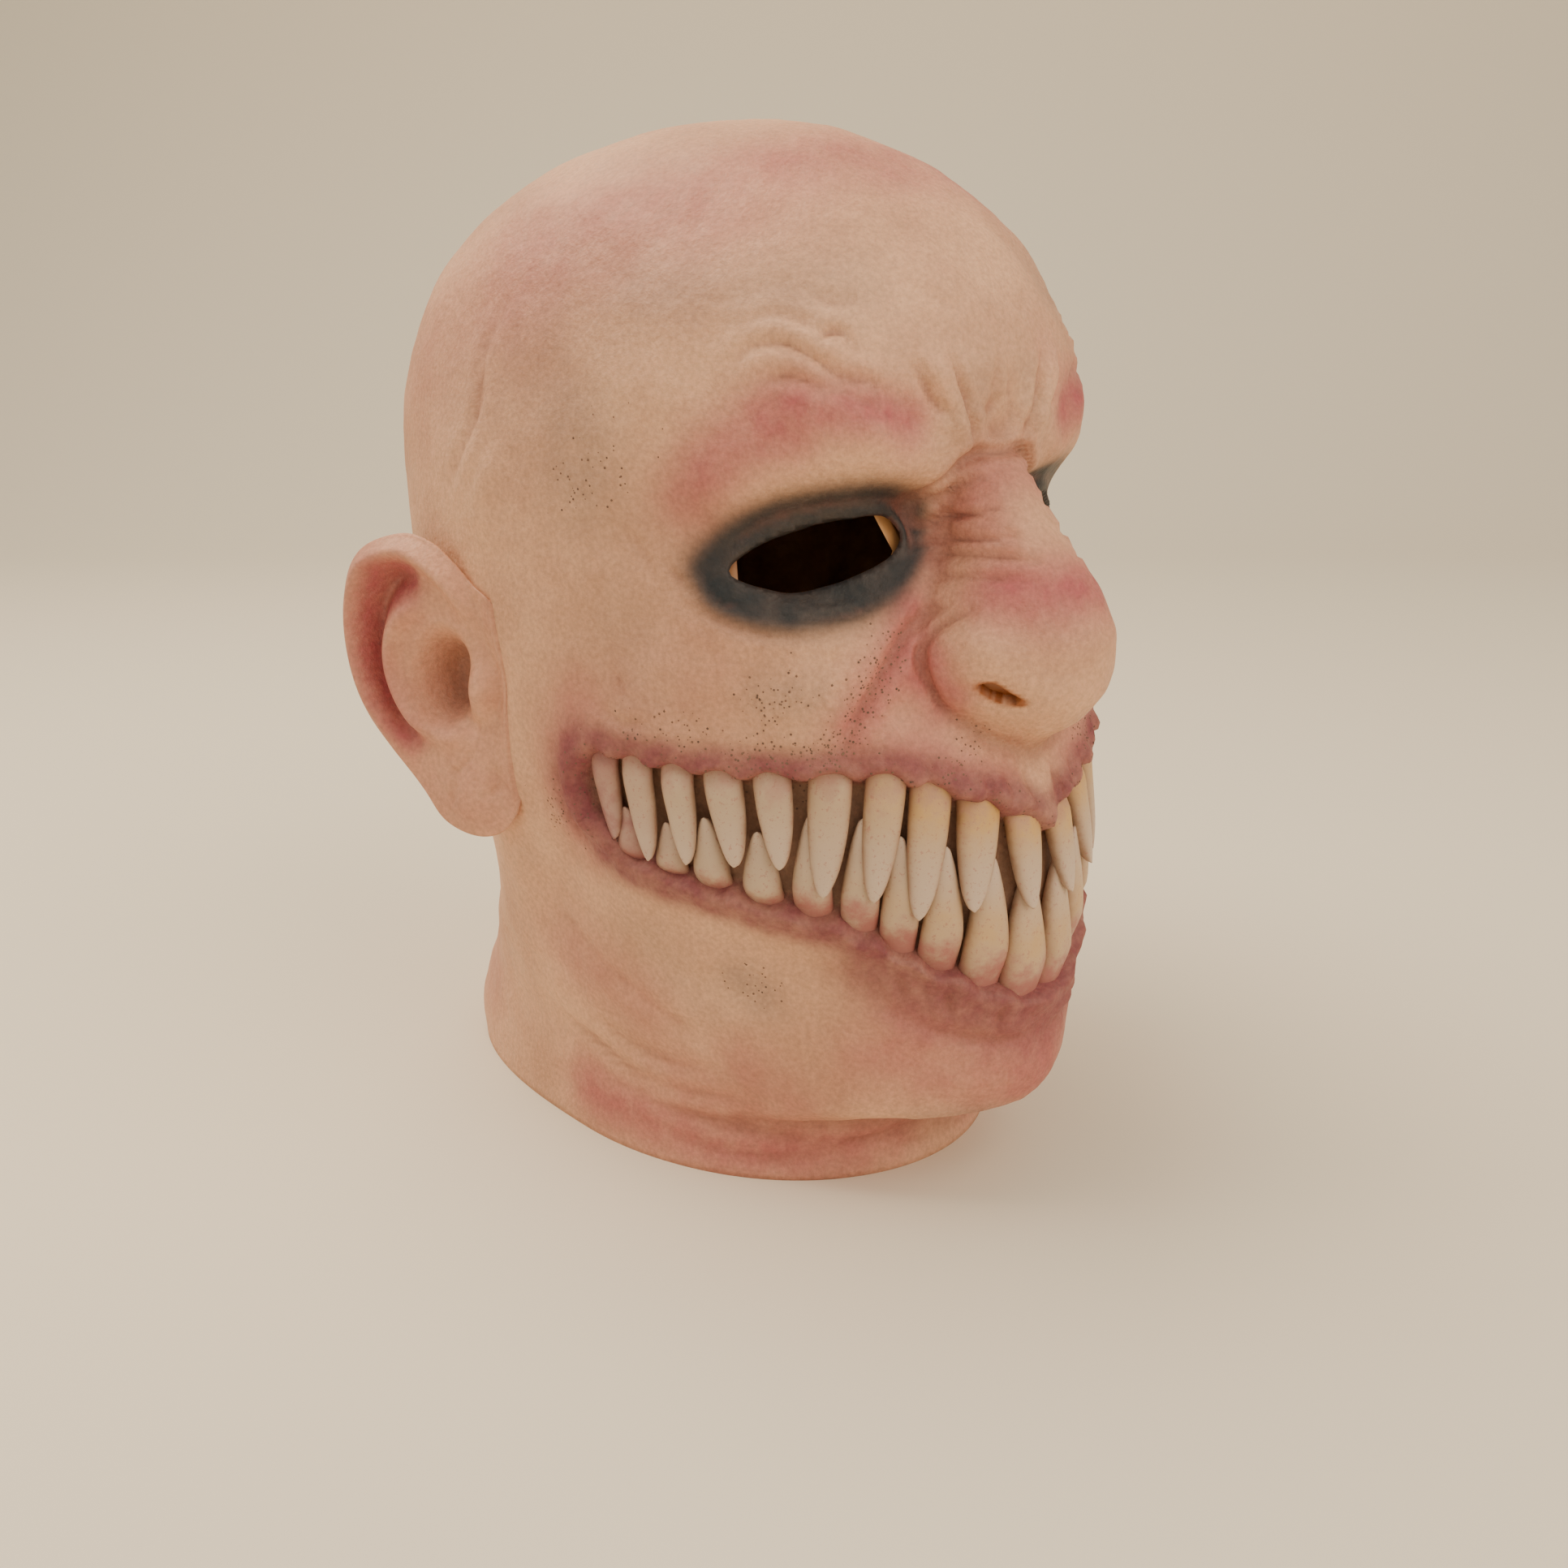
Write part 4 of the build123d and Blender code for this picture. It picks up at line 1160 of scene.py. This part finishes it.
class MaskColours(bpy.types.PropertyGroup):
    flesh_pale: tint("Pale flesh", "Lighter of the two base coats", "#dcac8a")
    flesh_tan: tint("Tan flesh", "Darker of the two base coats", "#c69678")
    rose: tint("Rose", "Blood colour sprayed on cheeks, nose and scalp", "#a84f57")
    ash: tint("Ash", "Grey shadow coat", "#857468")
    # also the darkest painted shadow in the pinholes
    slate: tint("Slate", "Near-black coat round the eyes", "#1f252a")
    plum: tint("Plum", "Dark coat along the lips", "#7c3c44")
    # painted shade: latex in shade, for the web behind the teeth, the teeth's sides, the ears' hollows and
    # the pinholes
    web: tint("Web", "Depth between the teeth", "#94705a")
    raw: tint("Raw latex", "Unpainted latex at cut edges", "#8c4a18")
    # a brown wash with painted shade: it darkens the folds the more the deeper they lie
    wash_and_fold_shade: tint("Wash", "Brown wash left in the folds", "#8a5548")
    lining: tint("Lining", "Bare amber latex inside", "#cf9c66")
    tooth: tint("Bone", "Middle of each tooth", "#bfa68c")
    tooth_tip: tint("Bone tip", "Tip of each tooth", "#c8b29e")
    tooth_root: tint("Gum", "Root of each tooth", "#a5605c")
    tooth_stain: tint("Stain", "Yellowed front teeth", "#cc9c4c")
    tooth_rear: tint("Rear teeth", "Rosy back teeth", "#94525a")


class StageSettings(bpy.types.PropertyGroup):
    board: tint("Board", "Floor and wall", "#e8dfcc")
    lamp: tint("Lamp", "Colour of the lamps", "#ffeed6")
    key_power: bpy.props.FloatProperty(name="Top lamp", description="Power of the lamp overhead",
                                       default=17.0,
                                       unit="POWER")
    fill_power: bpy.props.FloatProperty(name="Front lamp", description="Power of the lamp in front",
                                        default=14.0,
                                        unit="POWER")
    lens: bpy.props.FloatProperty(name="Lens", description="Focal length on a 36 mm sensor", default=34.47,
                                  unit="CAMERA")


# The stage, in metres: where the wall's cove starts behind the mask, its radius, and which way it faces.
WALL_START, COVE = 1.0, 0.6
STAGE_TURN = math.radians(-43.0)
LAMP_TARGET = (0.0, 0.0, 0.12)
CAMERA_SPOT, CAMERA_TARGET = (-0.3006, -0.3198, 0.2376), (0.0, -0.0085, 0.097)


# ---- operators -------------------------------------------------------------------------------
def sculpt_head(sizes):
    """The sheet before the mouth is opened, to stand teeth on, and the finished sheet with its paint."""
    sheet = Sheet(sizes.rows, sizes.columns)
    sculpt_forms(sheet)
    bare = copy.deepcopy(sheet)
    open_mouth(sheet)
    sculpt_folds(sheet)
    sculpt_eye_rims(sheet)
    find_nostrils(sheet)
    roughen(sheet)
    spray_paint_and_web_shade(sheet)
    # brown wash with painted shade in the folds: darker the deeper a point lies below its surroundings, none
    # on the web
    sheet.paint["wash_and_fold_shade"] = ease(sheet.hollows(14), 0.12, 1.0) * (1 - sheet.paint["web"])
    return bare, sheet


class MASK_OT_skin(bpy.types.Operator):
    """Sculpt and paint the latex skin: head, lips and web in one sheet"""
    bl_idname = "mask.make_skin"
    bl_label = "Make skin"

    def execute(self, context):
        sizes, colours = context.scene.mask_sizes, context.scene.mask_colours
        bare, sheet = sculpt_head(sizes)
        workshop["bare"], workshop["sheet"] = bare, sheet
        holes = np.maximum(sheet.eye, sheet.nostril)
        wall = sizes.skin_wall / MM
        points, faces, source = cut_grid(sheet.points, sheet.normals(), holes, wall + RIM_OVER_WALL)
        crown = {name: np.append(layer.ravel(), layer[-1, 0])[source] for name, layer in sheet.paint.items()}
        skin = new_piece("mask_skin", points, faces, airbrushed_latex("airbrushed_slip_cast_latex", colours),
                         crown)
        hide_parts("head_skin", "upper_lip", "lower_lip", "mouth_web")
        away = ease(-holes, 2.0, 8.0)
        depth = wall + LINING_GAP + LINING_GAP_AWAY * away + LINING_GAP_MOUTH * ease(sheet.mouth, -8.0, -1.0)
        inner = sheet.points + (bare.points - sheet.points) * away[..., None]
        inner -= bare.normals() * depth[..., None]
        coarse = (slice(None, None, LINING_ROWS), slice(None, None, LINING_COLUMNS))
        points, faces, _ = cut_grid(inner[coarse], sheet.normals()[coarse], holes[coarse], 0.0, flip=True)
        new_piece("mask_lining", points, faces, raw_latex(colours))
        return {"FINISHED"}


class MASK_OT_teeth(bpy.types.Operator):
    """Make both rows of fangs, one piece for each tooth"""
    bl_idname = "mask.make_teeth"
    bl_label = "Make teeth"

    def execute(self, context):
        material = painted_tooth_latex(context.scene.mask_colours)
        for jaw, teeth in (("upper", UPPER_TEETH), ("lower", LOWER_TEETH)):
            for number, row in enumerate(teeth, start=1):
                for hand in (1, -1):
                    build_tooth(workshop["bare"], jaw, number, row, hand, material)
        return {"FINISHED"}


class MASK_OT_ears(bpy.types.Operator):
    """Sculpt and paint the two ears"""
    bl_idname = "mask.make_ears"
    bl_label = "Make ears"

    def execute(self, context):
        material = airbrushed_latex("airbrushed_ear_latex", context.scene.mask_colours, ear=True)
        for hand in (1, -1):
            build_ear(workshop["sheet"], hand, material)
        return {"FINISHED"}


class MASK_OT_pinholes(bpy.types.Operator):
    """Scatter the casting pinholes over the skin"""
    bl_idname = "mask.make_pinholes"
    bl_label = "Make pinholes"

    def execute(self, context):
        sizes = context.scene.mask_sizes
        material = pinhole_shadow(context.scene.mask_colours)
        tree, width, density, seed = pinhole_tree(material)
        carrier = bpy.data.objects.new("pinhole_carrier", bpy.data.objects["mask_skin"].data.copy())
        context.scene.collection.objects.link(carrier)
        scatter = carrier.modifiers.new("pinholes", "NODES")
        scatter.node_group = tree
        scatter[width], scatter[density], scatter[seed] = sizes.pit_width, sizes.pit_density, SEED
        depsgraph = context.evaluated_depsgraph_get()
        mesh = bpy.data.meshes.new_from_object(carrier.evaluated_get(depsgraph))
        bpy.data.objects.remove(carrier)
        mesh.name = "skin_pinholes"
        pits = bpy.data.objects.new("skin_pinholes", mesh)
        context.scene.collection.objects.link(pits)
        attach(pits, "root")
        return {"FINISHED"}


def stand(context, name, data, spot, target):
    """Put up a lamp or a camera, turned towards a target."""
    item = bpy.data.objects.new(name, data)
    item.location = spot
    item.rotation_euler = (Vector(target) - item.location).to_track_quat("-Z", "Y").to_euler()
    context.scene.collection.objects.link(item)
    return item


class MASK_OT_stage(bpy.types.Operator):
    """Set the floor, the lamps and the camera"""
    bl_idname = "mask.make_stage"
    bl_label = "Make stage"

    def execute(self, context):
        stage = context.scene.mask_stage
        board = matt_board("matt_painted_board", stage.board)
        profile = [(-2.2, 0.0), (WALL_START, 0.0)]
        profile += [(WALL_START + COVE * math.sin(t), COVE - COVE * math.cos(t))
                    for t in np.linspace(0.1, math.pi / 2, 12)]
        profile.append((WALL_START + COVE, 2.6))
        turn = STAGE_TURN
        points, faces = [], []
        for along, up in profile:
            for across in (-3.0, 3.0):
                points.append((across * math.cos(turn) - along * math.sin(turn),
                               across * math.sin(turn) + along * math.cos(turn), up))
        for k in range(len(profile) - 1):
            faces.append((2 * k, 2 * k + 1, 2 * k + 3, 2 * k + 2))
        mesh = bpy.data.meshes.new("studio_sweep")
        mesh.from_pydata(points, [], faces)
        mesh.shade_smooth()
        mesh.materials.append(board)
        sweep = bpy.data.objects.new("studio_sweep", mesh)
        context.scene.collection.objects.link(sweep)
        lamps = [("top_lamp", (-0.25, 0.45, 1.15), 1.0, stage.key_power),
                 ("front_lamp", (0.15, -1.2, 0.95), 1.4, stage.fill_power)]
        for name, spot, size, power in lamps:
            light = bpy.data.lights.new(name, "AREA")
            light.shape = "SQUARE"
            light.size = size
            light.energy = power
            light.color = stage.lamp[:3]
            stand(context, name, light, spot, LAMP_TARGET)
        world = bpy.data.worlds.new("studio_air")
        world.use_nodes = True
        air = world.node_tree.nodes["Background"]
        air.inputs["Color"].default_value = colour("#fff4e4")
        air.inputs["Strength"].default_value = 0.66
        context.scene.world = world
        camera = bpy.data.cameras.new("camera")
        camera.lens = stage.lens
        camera.sensor_width = 36.0
        camera.clip_start = 0.01
        context.scene.camera = stand(context, "camera", camera, CAMERA_SPOT, CAMERA_TARGET)
        return {"FINISHED"}


class MASK_PT_panel(bpy.types.Panel):
    """Settings and makers of the mask"""
    bl_idname = "MASK_PT_panel"
    bl_label = "Latex monster mask"
    bl_space_type = "VIEW_3D"
    bl_region_type = "UI"
    bl_category = "Mask"

    def draw(self, context):
        scene = context.scene
        for settings in (scene.mask_sizes, scene.mask_colours, scene.mask_stage):
            box = self.layout.box()
            for name in settings.__annotations__:
                box.prop(settings, name)
        for operator in OPERATORS:
            self.layout.operator(operator.bl_idname)


SETTINGS = {"mask_sizes": MaskSizes, "mask_colours": MaskColours, "mask_stage": StageSettings}
OPERATORS = (MASK_OT_skin, MASK_OT_teeth, MASK_OT_ears, MASK_OT_pinholes, MASK_OT_stage)
workshop = {}


def register():
    for cls in (*SETTINGS.values(), *OPERATORS, MASK_PT_panel):
        bpy.utils.register_class(cls)
    for name, group in SETTINGS.items():
        setattr(bpy.types.Scene, name, bpy.props.PointerProperty(type=group))


def unregister():
    for name in SETTINGS:
        delattr(bpy.types.Scene, name)
    for cls in reversed((*SETTINGS.values(), *OPERATORS, MASK_PT_panel)):
        bpy.utils.unregister_class(cls)


def main():
    register()
    bpy.ops.mask.make_skin()
    bpy.ops.mask.make_teeth()
    bpy.ops.mask.make_ears()
    bpy.ops.mask.make_pinholes()
    bpy.ops.mask.make_stage()


if __name__ == "__main__":
    main()
